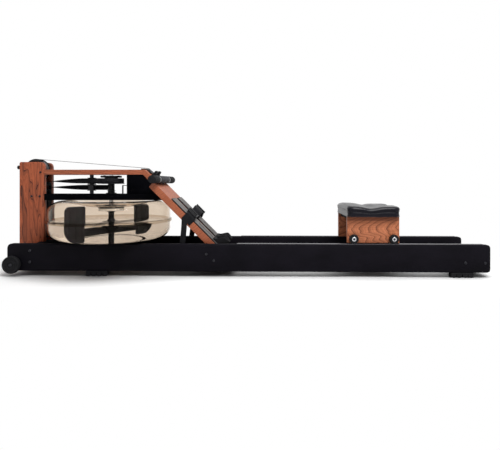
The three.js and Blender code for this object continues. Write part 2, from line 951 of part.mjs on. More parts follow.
// Stations of a strap that turns from upright at the idler to flat at the mast
function twist(stations, y_start, z_start, z_end, lean) {
  const x_start = idler_x - idler_radius - idler_rim;
  const x_end = mast_rear + cover_thickness;
  for (let i = 0; i <= twist_steps; i += 1) {
    const t = i / twist_steps;
    const angle = (t * Math.PI) / 2;
    stations.push({
      place: vec(x_start + (x_end - x_start) * t, y_start * (1 - t), z_start + (z_end - z_start) * t),
      across: vec(0, lean * Math.sin(angle), Math.cos(angle)),
      out: vec(0, Math.cos(angle), -lean * Math.sin(angle)),
    });
  }
}

function wrap(stations, radius, x, z, from, to, steps, across) {
  for (let i = 0; i <= steps; i += 1) {
    const angle = from + ((to - from) * i) / steps;
    const out = vec(-Math.sin(angle), 0, -Math.cos(angle));
    stations.push({ place: vec(x, 0, z).addScaledVector(out, radius), across, out });
  }
}

function add_straps() {
  add('top_pulley', pulley_across(drive_pulley_radius, pulley_x, drive_pulley_height), black_plastic());
  add('recoil_pulley', pulley_across(recoil_pulley_radius, pulley_x, recoil_pulley_height), black_plastic());

  const drive = [];
  const drum_station = (radius, side, level) => {
    const out = drum_touch(radius, side);
    const place = vec(shaft_x, 0, level).addScaledVector(out, radius);
    return { place, across: up, out: out.clone().multiplyScalar(side) };
  };
  drive.push(drum_station(winding_outer + 2 * gap + strap_thickness / 2, -1, strap_high));
  drive.push({ place: vec(idler_x, -idler_pass, strap_high), across: up, out: vec(0, 1, 0) });
  twist(drive, -idler_pass, strap_high, drive_pulley_height - drive_wrap, 1);
  wrap(drive, drive_wrap, pulley_x, drive_pulley_height, 0, Math.PI, wrap_steps, vec(0, 1, 0));
  add('drive_strap', ribbon(drive, strap_width, strap_thickness), webbing());

  const recoil = [];
  recoil.push(drum_station(recoil_drum_radius + gap + strap_thickness / 2, 1, strap_low));
  recoil.push({ place: vec(idler_x, idler_pass, strap_low), across: up, out: vec(0, 1, 0) });
  twist(recoil, idler_pass, strap_low, recoil_pulley_height + recoil_wrap, -1);
  const round = [Math.PI, Math.PI / 2, wrap_steps / 2];
  wrap(recoil, recoil_wrap, pulley_x, recoil_pulley_height, ...round, vec(0, -1, 0));
  recoil.push({
    place: vec(pulley_x - recoil_wrap, 0, mast_ground + bearer_height + gap),
    across: vec(0, -1, 0),
    out: vec(-1, 0, 0),
  });
  add('recoil_strap', ribbon(recoil, strap_width, strap_thickness), webbing());

  const run = [];
  const over = guide_height + 2 * gap + strap_thickness / 2;
  const start = vec(pulley_x + gap, 0, drive_pulley_height + drive_wrap);
  const corner = vec(mitre_x + over * mitre_slant, 0, plank_top + over);
  const before = vec(mitre_x - guide_height, 0, plank_top + over);
  const after = vec(guide_height, 0, over).applyMatrix4(slope.matrixWorld);
  const end = vec(lug_start - gap, 0, lug_off).applyMatrix4(slope.matrixWorld);
  const places = [start, before, corner, after, end];
  places.forEach((place, i) => {
    const ahead = places[Math.min(i + 1, places.length - 1)];
    const behind = places[Math.max(i - 1, 0)];
    const along = ahead.clone().sub(behind).normalize();
    run.push({ place, across: vec(0, 1, 0), out: vec(-along.z, 0, along.x) });
  });
  add('strap_run', ribbon(run, strap_width, strap_thickness), webbing());
}

// Handle: a bar with end grips and a centre sleeve whose lug holds the strap
const lug_start = handle_down - lug_length - sleeve_radius / 2;

function add_handle() {
  const centre = vec(handle_down, 0, handle_off).applyMatrix4(slope.matrixWorld);
  const half = handle_length / 2;
  const bar_half = half - grip_wall - gap;
  add('handle_bar', rod_across(handle_radius, -bar_half, bar_half, centre.x, centre.z), grey_metal());
  const bore = handle_radius + gap;
  for (const [side, sign] of sides) {
    const grip = wheel_across([
      [0, half - grip_wall],
      [bore, half - grip_wall],
      [bore, half - grip_length],
      [grip_radius, half - grip_length],
      [grip_radius, half - grip_round],
      [grip_radius - grip_break, half - grip_break],
      [grip_radius - grip_round, half],
      [0, half],
    ], centre.x, 0, centre.z, sign);
    add(`grip_${side}`, grip, black_rubber());
  }
  const tube = rod_across(sleeve_radius, -sleeve_length / 2, sleeve_length / 2, handle_down, handle_off);
  const lug = block(
    handle_down - lug_start, lug_width, lug_height,
    (handle_down + lug_start) / 2, 0, lug_off,
  );
  const room = rod_across(
    bore, -sleeve_length / 2 - cut_overrun, sleeve_length / 2 + cut_overrun, handle_down, handle_off,
  );
  const sleeve = cut(join(tube, lug), room);
  sleeve.applyMatrix4(slope.matrixWorld);
  add('handle_sleeve', sleeve, black_rubber());
}

// Water tank: two clear shells joined at a lip, with a well in the top for the seal
const tank_curve_width = tank_radius - tank_flat_radius;

// Points of a quarter round from the flat to the wall; depth sets it in from the outside
function tank_round(centre_z, height, way, depth, from_flat) {
  const points = [];
  for (let i = 0; i <= tank_round_steps; i += 1) {
    const share = from_flat ? i / tank_round_steps : 1 - i / tank_round_steps;
    const angle = (share * Math.PI) / 2;
    points.push([
      tank_flat_radius + (tank_curve_width - depth) * Math.sin(angle),
      centre_z - way * (height - depth) * Math.cos(angle),
    ]);
  }
  return points;
}

// Points of the slope from the crown down to the well
function tank_well(depth, from_crown) {
  const points = [];
  for (let i = 1; i < well_steps; i += 1) {
    const share = from_crown ? i / well_steps : 1 - i / well_steps;
    const fall = (1 - Math.cos(share * Math.PI)) / 2;
    points.push([
      tank_flat_radius + (well_radius - tank_flat_radius) * share,
      tank_top - depth - well_depth * fall,
    ]);
  }
  return points;
}

const lower_centre = tank_bottom + tank_lower_curve;
const upper_centre = tank_top - tank_upper_curve;
const well_floor = tank_top - well_depth;
const shell_inside = tank_radius - tank_wall;
const lip_outer = tank_radius + tank_lip;

function add_tank() {
  const seam_low = tank_seam_z - gap / 2;
  const seam_high = tank_seam_z + gap / 2;
  const lower = turned([
    [0, tank_bottom],
    ...tank_round(lower_centre, tank_lower_curve, 1, 0, true),
    [tank_radius, seam_low - tank_lip_height],
    [lip_outer, seam_low - tank_lip_height],
    [lip_outer, seam_low],
    [shell_inside, seam_low],
    ...tank_round(lower_centre, tank_lower_curve, 1, tank_wall, false),
    [0, tank_bottom + tank_wall],
  ], tank_segments);
  add('tank_lower', outward(lower.translate(shaft_x, 0, 0)), clear_tank());
  const upper = turned_ring([
    [shell_inside, seam_high],
    [lip_outer, seam_high],
    [lip_outer, seam_high + tank_lip_height],
    [tank_radius, seam_high + tank_lip_height],
    ...tank_round(upper_centre, tank_upper_curve, -1, 0, false),
    ...tank_well(0, true),
    [well_radius, well_floor],
    [neck_radius, well_floor],
    [neck_radius, well_floor - tank_wall],
    [well_radius, well_floor - tank_wall],
    ...tank_well(tank_wall, false),
    ...tank_round(upper_centre, tank_upper_curve, -1, tank_wall, true),
  ], tank_segments);
  add('tank_upper', outward(upper.translate(shaft_x, 0, 0)), clear_tank());

  const seal_bottom = well_floor - tank_wall - gap;
  const seal_top = well_floor + gap + seal_height;
  const seal = turned_ring([
    [neck_bore, seal_bottom - seal_ring_height],
    [seal_ring_radius, seal_bottom - seal_ring_height],
    [seal_ring_radius, seal_bottom],
    [neck_radius - gap, seal_bottom],
    [neck_radius - gap, well_floor + gap],
    [seal_radius, well_floor + gap],
    [seal_radius, seal_top],
    [seal_collar_radius, seal_top],
    [seal_collar_radius, seal_top + seal_collar_height],
    [neck_bore, seal_top + seal_collar_height],
  ]);
  add('tank_seal', outward(seal.translate(shaft_x, 0, 0)), black_plastic());

  const level = tank_bottom + tank_wall + water_depth;
  const water = turned([
    [0, tank_bottom + tank_wall + gap],
    ...tank_round(lower_centre, tank_lower_curve, 1, tank_wall + gap, true),
    [shell_inside - gap, level],
    [0, level],
  ], tank_segments);
  const body = outward(water.translate(shaft_x, 0, 0));
  add('water', cut(body, ...paddle_pieces(gap)), tank_water());
}

// Paddle: hub, two arms and two blades; grow widens every piece for the space it needs
const hub_bottom = tank_bottom + tank_wall + gap;
const hub_top = well_floor - tank_wall - gap - seal_ring_height - gap;

function paddle_pieces(grow) {
  const hub = turned([
    [0, hub_bottom - grow * 2],
    [hub_radius + grow, hub_bottom - grow * 2],
    [hub_radius + grow, hub_skirt_height - hub_skirt_depth],
    [hub_skirt_radius + grow, hub_skirt_height - hub_skirt_edge],
    [hub_skirt_radius + grow, hub_skirt_height],
    [hub_radius + grow, hub_waist_height],
    [hub_radius + grow, hub_top - hub_head],
    [hub_top_radius + grow, hub_top - hub_head / 2],
    [hub_top_radius + grow, hub_top],
    [0, hub_top],
  ], wheel_segments);
  const pieces = [outward(hub)];
  const half_arm = blade_inner + arm_lap;
  const arm = block(
    2 * half_arm, arm_thickness + 2 * grow, arm_height + 2 * grow,
    0, 0, arm_bottom + arm_height / 2,
  );
  pieces.push(arm);
  for (const turn of [0, Math.PI]) {
    const outline = rounded_outline([
      [blade_inner - grow, blade_bottom - grow, blade_inner_corner],
      [blade_outer + grow, blade_bottom - grow, blade_low_corner],
      [blade_outer + grow, blade_top + grow, blade_high_corner],
      [blade_inner - grow, blade_top + grow, blade_inner_corner],
    ]);
    pieces.push(upright(outline, blade_thickness + 2 * grow, 0, 0).rotateZ(turn));
  }
  return pieces.map((piece) => piece.rotateZ(paddle_turn).translate(shaft_x, 0, 0));
}

function add_paddle() {
  add('paddle', join(...paddle_pieces(0)), black_plastic());
}

// Transport wheels at the foot of the mast
function add_transport_wheels() {
  const wall = rail_outer + gap;
  for (const [side, sign] of sides) {
    const wheel = wheel_across([
      [0, 0],
      [transport_stub_radius, 0],
      [transport_stub_radius, transport_standoff],
      [transport_radius - transport_edge, transport_standoff],
      [transport_radius, transport_standoff + transport_edge],
      [transport_radius, transport_standoff + transport_width - transport_edge],
      [transport_radius - transport_edge, transport_standoff + transport_width],
      [transport_hub_radius, transport_standoff + transport_width],
      [transport_hub_radius, transport_standoff + transport_width - transport_recess],
      [0, transport_standoff + transport_width - transport_recess],
    ], rail_front + transport_inset, sign * wall, transport_height, sign);
    add(`transport_wheel_${side}`, wheel, black_rubber());
  }
}

// Seat carriage
const track_top = rail_top + gap + track_height;
const wheel_z = track_top + gap + seat_wheel_radius;

function add_seat() {
  const bottom = rail_top + seat_board_lift;
  const outline = rectangle(seat_x - seat_length / 2, seat_x + seat_length / 2, bottom, seat_top);
  const standoff = track_standoff;
  for (const [side, sign] of sides) {
    const middle = sign * (seat_board_width / 2 - seat_board_thickness / 2);
    add(`seat_side_${side}`, upright(outline, seat_board_thickness, board_edge, middle), seat_oak());
    for (const [end, way] of [['front', -1], ['rear', 1]]) {
      const wheel = wheel_across([
        [0, 0],
        [seat_stub_radius, 0],
        [seat_stub_radius, standoff],
        [seat_wheel_radius - seat_wheel_edge, standoff],
        [seat_wheel_radius, standoff + seat_wheel_edge],
        [seat_wheel_radius, standoff + seat_wheel_width - seat_wheel_edge],
        [seat_wheel_radius - seat_wheel_edge, standoff + seat_wheel_width],
        [seat_hub_radius, standoff + seat_wheel_width],
        [seat_hub_radius, standoff + seat_wheel_width - seat_hub_recess],
        [0, standoff + seat_wheel_width - seat_hub_recess],
      ], seat_x + way * (seat_length / 2 - seat_wheel_inset),
      sign * (seat_board_width / 2 + gap), wheel_z, sign);
      add(`seat_wheel_${end}_${side}`, wheel, black_plastic());
    }
  }
  const base = block(
    seat_length - 2 * seat_base_inset, seat_board_width - 2 * seat_board_thickness - 2 * gap,
    seat_base_thickness, seat_x, 0, seat_top - seat_base_thickness / 2,
  );
  add('seat_base', base, black_wood());
  add('seat_cushion', cushion_form(), leather());
}

// Height of the cushion's top above its underside: a cross dip, two hollows and a tail notch
function cushion_crown(x, y) {
  const bell = (value, spread) => Math.exp(-((value / spread) ** 2));
  const dip = cushion_dip * bell(x + cushion_dip_shift, cushion_dip_spread);
  const hollow = cushion_hollow * bell(Math.abs(y) - cushion_hollow_out, cushion_hollow_spread)
    * bell(x - cushion_dip_shift, cushion_hollow_spread);
  const tail = 1 / (1 + Math.exp((cushion_notch_start - x) / cushion_notch_blend));
  const notch = cushion_notch * bell(y, cushion_notch_width) * tail;
  const rise = cushion_rise * (1 - (y / (cushion_width / 2)) ** 2);
  return cushion_height + rise - dip - hollow - notch;
}

// Rings of the cushion's outline, from the middle of the top, over the edge and down the drawn-in side
function cushion_form() {
  const outline = rectangle(
    -cushion_length / 2, cushion_length / 2, -cushion_width / 2, cushion_width / 2, cushion_corner,
  );
  const rim = outline.getSpacedPoints(cushion_points).slice(0, cushion_points);
  const bottom = seat_top + gap;
  const positions = [];
  const ring = (inset, height_of) => {
    for (const point of rim) {
      const x = point.x * (1 - inset / (cushion_length / 2));
      const y = point.y * (1 - inset / (cushion_width / 2));
      positions.push(seat_x + cushion_shift + x, y, bottom + height_of(x, y));
    }
  };
  for (const share of top_ring_shares) {
    ring((cushion_length / 2) * (1 - share), cushion_crown);
  }
  for (const share of edge_turn_shares) {
    const angle = (share * Math.PI) / 2;
    const inset = cushion_edge * (1 - Math.sin(angle));
    ring(inset, (x, y) => cushion_crown(x, y) - cushion_edge * (1 - Math.cos(angle)));
  }
  for (const share of side_level_shares) {
    const draw = cushion_side_draw * Math.sin(Math.PI * (1 - share));
    ring(draw, (x, y) => (cushion_crown(x, y) - cushion_edge) * share);
  }
  ring(cushion_side_draw, () => 0);
  const rings = positions.length / 3 / cushion_points;
  const index = [];
  for (let i = 0; i + 1 < rings; i += 1) {
    for (let k = 0; k < cushion_points; k += 1) {
      const a = i * cushion_points + k;
      const b = i * cushion_points + ((k + 1) % cushion_points);
      index.push(a, a + cushion_points, b, b, a + cushion_points, b + cushion_points);
    }
  }
  const centre = rings * cushion_points;
  positions.push(seat_x + cushion_shift, 0, bottom + cushion_crown(0, 0));
  positions.push(seat_x + cushion_shift, 0, bottom);
  for (let k = 0; k < cushion_points; k += 1) {
    const next = (k + 1) % cushion_points;
    index.push(centre, k, next);
    index.push(centre + 1, (rings - 1) * cushion_points + next, (rings - 1) * cushion_points + k);
  }
  const geometry = new THREE.BufferGeometry();
  geometry.setAttribute('position', new THREE.Float32BufferAttribute(positions, 3));
  geometry.setIndex(index);
  return outward(geometry);
}

// Sensor bracket between the deck and the web bracket
function add_sensor() {
  const foot = deck_top + gap;
  const top = foot + sensor_height;
  const wall = web_front - gap;
  const bracket = prism([
    [wall - sensor_reach, foot],
    [wall - sensor_reach + sensor_wall, foot],
    [wall - sensor_reach + sensor_wall, top - sensor_wall],
    [wall, top - sensor_wall],
    [wall, top],
    [wall - sensor_reach, top],
  ], sensor_width, -(web_width - sensor_width) / 2);
  add('sensor_bracket', bracket, black_plastic());
}

add_rails();
add_cross_pieces();
add_mast();
add_head();
add_foot_plank();
add_foot_straps();
add_heel_rests();
add_rest_and_guide();
add_drum();
add_shaft_and_posts();
add_straps();
add_handle();
add_tank();
add_paddle();
add_transport_wheels();
add_seat();
add_sensor();

export default machine;
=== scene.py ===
# Looks of the water rowing machine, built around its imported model. Metres, +Z up.
import math
import bmesh
import bpy
from mathutils import Matrix, Vector, noise


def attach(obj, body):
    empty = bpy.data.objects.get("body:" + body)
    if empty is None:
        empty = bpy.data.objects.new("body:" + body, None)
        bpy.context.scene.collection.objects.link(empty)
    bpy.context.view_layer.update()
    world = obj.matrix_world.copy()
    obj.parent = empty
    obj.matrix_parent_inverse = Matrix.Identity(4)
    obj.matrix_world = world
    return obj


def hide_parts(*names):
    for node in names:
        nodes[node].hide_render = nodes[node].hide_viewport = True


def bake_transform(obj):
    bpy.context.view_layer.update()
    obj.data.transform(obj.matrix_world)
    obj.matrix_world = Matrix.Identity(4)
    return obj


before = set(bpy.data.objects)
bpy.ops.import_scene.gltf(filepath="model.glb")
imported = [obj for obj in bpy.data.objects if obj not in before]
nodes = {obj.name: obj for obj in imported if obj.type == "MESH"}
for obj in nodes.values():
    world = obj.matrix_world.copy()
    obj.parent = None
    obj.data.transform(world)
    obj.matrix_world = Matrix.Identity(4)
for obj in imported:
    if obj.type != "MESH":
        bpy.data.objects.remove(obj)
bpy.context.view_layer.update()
SIDES = (("left", -1), ("right", 1))
MM = 0.001

# The machine is drawn about the middle of its rails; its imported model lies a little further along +X
FRAME_SHIFT = Vector((0.004, 0, 0))

# Camera, matched to the photograph's framing
CAMERA_PLACE = (0.1123, -1.9943, 0.4031)
CAMERA_YAW = 0.022
CAMERA_LENS = 30.63
CAMERA_SENSOR = 36
CAMERA_SHIFT = (-0.0228, -0.0826)


def make_camera():
    data = bpy.data.cameras.new("camera")
    data.lens = CAMERA_LENS
    data.sensor_width = CAMERA_SENSOR
    data.shift_x, data.shift_y = CAMERA_SHIFT
    camera = bpy.data.objects.new("camera", data)
    camera.location = CAMERA_PLACE
    camera.rotation_euler = (math.pi / 2, 0, CAMERA_YAW)
    bpy.context.scene.collection.objects.link(camera)
    bpy.context.scene.camera = camera


# Lights: place, the point that each looks at, size and power
LIGHTS = {
    "key": ((1.1, -2.0, 2.7), (0, 0, 0.2), (1.4, 1.2), 104),
    "fill": ((-2.0, -2.2, 1.6), (-0.3, 0, 0.2), (1.6, 1.2), 6),
    "top": ((0.6, -0.5, 2.9), (0.1, 0, 0.2), (1.8, 0.8), 34),
    "back": ((0.2, 2.6, 1.8), (0, 0, 0.3), (3.0, 1.2), 6),
}


def make_lights():
    for name, (place, target, size, power) in LIGHTS.items():
        data = bpy.data.lights.new(name, "AREA")
        data.shape = "RECTANGLE"
        data.size, data.size_y = size
        data.energy = power
        light = bpy.data.objects.new(name, data)
        light.location = place
        direction = Vector(target) - Vector(place)
        light.rotation_euler = direction.to_track_quat("-Z", "Y").to_euler()
        bpy.context.scene.collection.objects.link(light)


# Node trees
WHITE = (1, 1, 1, 1)


class Tree:
    """A node tree with short calls; a value is a number, a colour or another node's output."""

    def __init__(self, tree):
        self.tree = tree

    def node(self, kind, values=None, **settings):
        made = self.tree.nodes.new("ShaderNode" + kind)
        for key, value in settings.items():
            setattr(made, key, value)
        for socket, value in (values or {}).items():
            if isinstance(value, bpy.types.NodeSocket):
                self.tree.links.new(value, made.inputs[socket])
            elif value is not None:
                made.inputs[socket].default_value = value
        return made

    def math(self, operation, first, second=None):
        return self.node("Math", {0: first, 1: second}, operation=operation).outputs[0]

    def plus(self, first, second):
        return self.math("ADD", first, second)

    def less(self, first, second):
        return self.math("SUBTRACT", first, second)

    def times(self, first, second):
        return self.math("MULTIPLY", first, second)

    def looking_rays(self):
        """1 where a ray looks at the background, straight or by gloss or glass, 0 where it only lights."""
        rays = self.node("LightPath").outputs
        seen = self.math("MAXIMUM", rays["Is Camera Ray"], rays["Is Glossy Ray"])
        return self.math("MAXIMUM", seen, rays["Is Transmission Ray"])


class Shader(Tree):
    """A material's node tree."""

    def __init__(self, name, **values):
        self.material = bpy.data.materials.new(name)
        self.material.use_nodes = True
        super().__init__(self.material.node_tree)
        self.surface = self.tree.nodes["Principled BSDF"]
        for socket, value in values.items():
            self.surface.inputs[socket.replace("_", " ")].default_value = value

    def place(self, scale=(1, 1, 1), turn=(0, 0, 0), shift=(0, 0, 0), kind="Object"):
        where = self.node("TexCoord").outputs[kind]
        values = {"Vector": where, "Scale": scale, "Rotation": turn, "Location": shift}
        return self.node("Mapping", values).outputs["Vector"]

    def stretched(self, vector, scale):
        return self.node("Mapping", {"Vector": vector, "Scale": scale}).outputs["Vector"]

    def parts(self, vector):
        return self.node("SeparateXYZ", {0: vector}).outputs

    def noise(self, vector, scale, detail=3.0, roughness=0.55):
        values = {"Vector": vector, "Scale": scale, "Detail": detail, "Roughness": roughness}
        return self.node("TexNoise", values).outputs["Fac"]

    def ramp(self, factor, *stops):
        made = self.node("ValToRGB", {"Fac": factor})
        elements = made.color_ramp.elements
        while len(elements) < len(stops):
            elements.new(0.5)
        for element, (position, colour) in zip(elements, stops):
            element.position = position
            element.color = (*colour, 1)
        return made.outputs["Color"]

    def mix(self, factor, first, second, blend="MIX"):
        first, second = [(*tone, 1) if isinstance(tone, tuple) else tone for tone in (first, second)]
        values = {0: factor, 6: first, 7: second}
        return self.node("Mix", values, data_type="RGBA", blend_type=blend).outputs[2]

    def smooth_step(self, factor, low, high):
        values = {"Value": factor, "From Min": low, "From Max": high}
        return self.node("MapRange", values, interpolation_type="SMOOTHSTEP")

    def to_surface(self, output, socket):
        self.tree.links.new(output, self.surface.inputs[socket])

    def colour(self, output):
        self.to_surface(output, "Base Color")

    def rough(self, factor, low, high):
        made = self.node("MapRange", {"Value": factor, "To Min": low, "To Max": high})
        self.to_surface(made.outputs["Result"], "Roughness")

    def bump(self, height, strength, distance):
        made = self.node("Bump", {"Height": height, "Strength": strength, "Distance": distance})
        self.to_surface(made.outputs["Normal"], "Normal")


# World: white where the camera, gloss and glass look, softer as light
WORLD_LIGHT = 0.3


def make_world():
    world = bpy.data.worlds.new("studio")
    bpy.context.scene.world = world
    world.use_nodes = True
    world.node_tree.nodes.clear()
    tree = Tree(world.node_tree)
    light = tree.node("Background", {"Color": WHITE, "Strength": WORLD_LIGHT})
    white = tree.node("Background", {"Color": WHITE})
    mixed = tree.node("MixShader", {0: tree.looking_rays(), 1: light.outputs[0], 2: white.outputs[0]})
    tree.node("OutputWorld", {"Surface": mixed.outputs[0]})


def srgb(colour):
    def linear(value):
        share = value / 255
        return share / 12.92 if share <= 0.04045 else ((share + 0.055) / 1.055) ** 2.4
    return tuple(linear(value) for value in colour)


# Wood: growth rings cut by the board's face, fibres and open pores along the grain
FIBRE_STRETCH = (7, 300, 300)
PATCH_STRETCH = (4, 16, 16)
PORE_STRETCH = (45, 700, 700)
FINE_RING_SHARE = 3.1
FINE_RING_SHARPNESS = 1.4
# How far the painted shade under the seat cushion darkens the wood
PAINTED_SHADE_DEPTH = 0.62
BLACK, FULL = (0, 0, 0), (1, 1, 1)


def grain_frame(shader, order, turn, shift):
    """Object coordinates turned and reordered so that X runs along the grain and Z through the board."""
    parts = shader.parts(shader.place(turn=turn, shift=shift))
    joined = shader.node("CombineXYZ", {target: parts[axis] for axis, target in zip(order, "XYZ")})
    return joined.outputs[0]


def growth_rings(shader, radius, per_metre, sharpness):
    return shader.math("POWER", shader.math("FRACT", shader.times(radius, per_metre)), sharpness)


def ring_radius(shader, grain, lean, heart, bend, width, flow):
    """Distance from the rings' middle, which lies under the board and wanders a little."""
    parts = shader.parts(grain)
    sway = shader.noise(shader.stretched(grain, flow), 1.6, 2.0)
    warp = shader.times(shader.less(sway, 0.5), bend)
    rise = shader.plus(shader.times(parts["X"], lean), heart)
    across = shader.plus(shader.times(parts["Y"], width), warp)
    deep = shader.plus(shader.plus(parts["Z"], rise), warp)
    return shader.math("SQRT", shader.plus(shader.times(across, across), shader.times(deep, deep)))


def wood(name, tones, order="XYZ", turn=(0, 0, 0), shift=(0, 0, 0), lean=0.16, heart=0.05, rings=105.0,
         contrast=0.6, sharpness=2.2, bend=0.05, width=1.0, flow=(2.4, 8, 8), painted_shade_above=None):
    """lean and heart place the rings' middle, bend makes them wander, and the height range given last darkens
    the wood above it, a painted shade.
    """
    pale, mid, dark = [srgb(tone) for tone in tones]
    shader = Shader(name, Roughness=0.5, Specular_IOR_Level=0.25)
    grain = grain_frame(shader, order, turn, shift)
    radius = ring_radius(shader, grain, lean, heart, bend, width, flow)
    broad = growth_rings(shader, radius, rings, sharpness)
    fine = growth_rings(shader, radius, rings * FINE_RING_SHARE, FINE_RING_SHARPNESS)
    fibre = shader.noise(shader.stretched(grain, FIBRE_STRETCH), 1.0, 4.0, 0.62)
    patch = shader.noise(shader.stretched(grain, PATCH_STRETCH), 1.0, 2.0)
    pores = shader.noise(shader.stretched(grain, PORE_STRETCH), 1.0, 2.0, 0.5)
    late = shader.ramp(broad, (0.0, BLACK), (0.55, (0.3, 0.3, 0.3)), (1.0, FULL))
    base = shader.mix(shader.times(patch, 0.9), pale, mid)
    ringed = shader.mix(shader.times(late, contrast), base, dark)
    ringed = shader.mix(shader.times(fine, contrast * 0.35), ringed, dark)
    fibres = shader.ramp(fibre, (0.3, (0.72, 0.7, 0.68)), (0.65, (1.06, 1.05, 1.03)))
    streaked = shader.mix(0.75, ringed, fibres, "MULTIPLY")
    pore_mask = shader.ramp(pores, (0.6, BLACK), (0.7, FULL))
    open_pores = shader.times(shader.times(pore_mask, shader.less(1.0, broad)), 0.5)
    whole = shader.mix(open_pores, streaked, dark)
    # Painted shade: the wood darkens above a given height, standing for the shade under the seat cushion
    if painted_shade_above:
        painted_cushion_shade = shader.smooth_step(shader.parts(shader.place())["Z"], *painted_shade_above)
        painted_cushion_shade.inputs["To Max"].default_value = PAINTED_SHADE_DEPTH
        whole = shader.mix(painted_cushion_shade.outputs["Result"], whole, dark)
    shader.colour(whole)
    shader.rough(fibre, 0.4, 0.58)
    shader.bump(shader.less(fibre, open_pores), 0.3, 0.0003)
    return shader.material


# Black paint over close-grained wood
def black_paint(name, low, high):
    shader = Shader(name, Roughness=0.5, Specular_IOR_Level=0.05)
    fine = shader.noise(shader.place(scale=(14, 260, 260)), 1.0, 3.0)
    worn = shader.noise(shader.place(scale=(6, 9, 9)), 1.0, 2.0)
    shader.colour(shader.ramp(worn, (0.3, srgb(low)), (0.7, srgb(high))))
    shader.rough(fine, 0.6, 0.75)
    shader.bump(fine, 0.18, 0.0003)
    return shader.material


# Moulded plastic: faint mottling under a fine-grained surface
def plastic(name, low, high, roughness=(0.34, 0.48), grain=900, strength=0.12, gloss=0.12):
    shader = Shader(name, Roughness=0.5, Specular_IOR_Level=gloss)
    cloud = shader.noise(shader.place(), 22.0, 2.0)
    fine = shader.noise(shader.place(), grain, 2.0)
    shader.colour(shader.ramp(cloud, (0.3, srgb(low)), (0.7, srgb(high))))
    shader.rough(cloud, *roughness)
    shader.bump(fine, strength, 0.0002)
    return shader.material


# Woven webbing: ribs across the run and a finer weave along it
def webbing(name, low, high, kind="UV", ribs=(0.0022, 0.0011)):
    shader = Shader(name, Roughness=0.75, Specular_IOR_Level=0.1)
    parts = shader.parts(shader.place(kind=kind))
    turns = [shader.times(parts[axis], 2 * math.pi / pitch) for axis, pitch in zip("XY", ribs)]
    waves = [shader.math("SINE", turn) for turn in turns]
    height = shader.plus(shader.times(shader.times(*waves), 0.5), 0.5)
    wear = shader.noise(shader.place(), 60.0, 3.0)
    thread = shader.mix(height, srgb(low), srgb(high))
    shader.colour(shader.mix(shader.times(wear, 0.3), thread, srgb(low)))
    shader.rough(wear, 0.6, 0.8)
    shader.bump(height, 0.6, 0.0003)
    return shader.material


def brushed_metal(name, low, high, roughness=(0.28, 0.42), scale=(300, 300, 300)):
    shader = Shader(name, Roughness=0.5, Metallic=0.9)
    brush = shader.noise(shader.place(scale=scale), 1.0, 2.0)
    shader.colour(shader.ramp(brush, (0.3, srgb(low)), (0.7, srgb(high))))
    shader.rough(brush, *roughness)
    shader.bump(brush, 0.12, 0.0002)
    return shader.material


# Satin leather: rounded pebbles with fine creases between them
def leather(name, low, high):
    shader = Shader(name, Roughness=0.32, Specular_IOR_Level=0.14, Sheen_Weight=0.24, Sheen_Roughness=0.3)
    cells = shader.node("TexVoronoi", {"Vector": shader.place(), "Scale": 620.0}, feature="F1")
    wide = shader.noise(shader.place(), 26.0, 3.0)
    pebble = shader.ramp(cells.outputs["Distance"], (0.1, FULL), (0.75, BLACK))
    shader.colour(shader.mix(shader.times(wide, 0.9), srgb(low), srgb(high)))
    shader.rough(wide, 0.24, 0.36)
    shader.bump(shader.plus(pebble, shader.times(wide, 0.8)), 0.22, 0.0003)
    return shader.material


# Clear moulding: glass-like, with a faint tint and soft ripples
def clear_plastic(name, low, high, ior):
    shader = Shader(name, Roughness=0.0, IOR=ior, Transmission_Weight=1.0)
    haze = shader.noise(shader.place(), 11.0, 3.0)
    shader.colour(shader.ramp(haze, (0.3, srgb(low)), (0.7, srgb(high))))
    shader.rough(haze, 0.0, 0.03)
    wave = shader.noise(shader.place(scale=(1, 1, 3)), 26.0, 2.0)
    shader.bump(wave, 0.03, 0.0004)
    return shader.material


# Finishes: their makers with two tones in 0 to 255, and then what differs from the maker's usual values
SLOPE_ANGLE = math.pi / 4
FINISHES = {
    "black_wood": (black_paint, (9, 8, 12), (17, 15, 21)),
    # A black darker than black_plastic: painted shade for parts that sit in shade
    "deep_black": (plastic, (1, 1, 3), (5, 5, 8), (0.5, 0.65), 900, 0.12, 0.02),
    "black_plastic": (plastic, (13, 13, 15), (22, 22, 24)),
    "satin_plastic": (plastic, (15, 15, 17), (26, 26, 29), (0.24, 0.36), 500, 0.06, 0.2),
    "black_rubber": (plastic, (16, 16, 18), (27, 27, 29), (0.68, 0.85), 1400, 0.3),
    "grey_rubber": (plastic, (50, 50, 53), (66, 66, 69), (0.7, 0.85), 1500, 0.4),
    "foam_grip": (plastic, (20, 20, 22), (36, 36, 38), (0.75, 0.9), 2600, 0.5),
    "white_plastic": (plastic, (244, 243, 240), (252, 251, 249), (0.4, 0.5)),
    "grey_pad": (plastic, (94, 92, 91), (118, 115, 113), (0.7, 0.85), 1500, 0.4),
    "blade_plastic": (plastic, (34, 36, 41), (58, 60, 66), (0.3, 0.45)),
    "webbing": (webbing, (10, 10, 12), (30, 30, 33)),
    "grey_webbing": (webbing, (60, 60, 64), (112, 112, 116)),
    "stitch": (webbing, (34, 34, 40), (70, 70, 78), "Object", (0.003, 0.003)),
    "track_metal": (brushed_metal, (62, 60, 64), (88, 86, 90), (0.28, 0.42), (12, 900, 900)),
    "grey_metal": (brushed_metal, (84, 85, 86), (116, 117, 118), (0.28, 0.42), (900, 12, 900)),
    "bolt_steel": (brushed_metal, (176, 177, 180), (216, 217, 220)),
    "dark_steel": (brushed_metal, (30, 30, 34), (54, 54, 58), (0.3, 0.45)),
    "leather": (leather, (5, 4, 11), (11, 10, 20)),
    "clear_tank": (clear_plastic, (231, 220, 208), (237, 228, 217), 1.08),
    "tank_band": (clear_plastic, (176, 156, 134), (188, 170, 148), 1.08),
    "water": (clear_plastic, (227, 225, 224), (234, 232, 230), 1.05),
}
MATERIALS = {name: make(name, *values) for name, (make, *values) in FINISHES.items()}

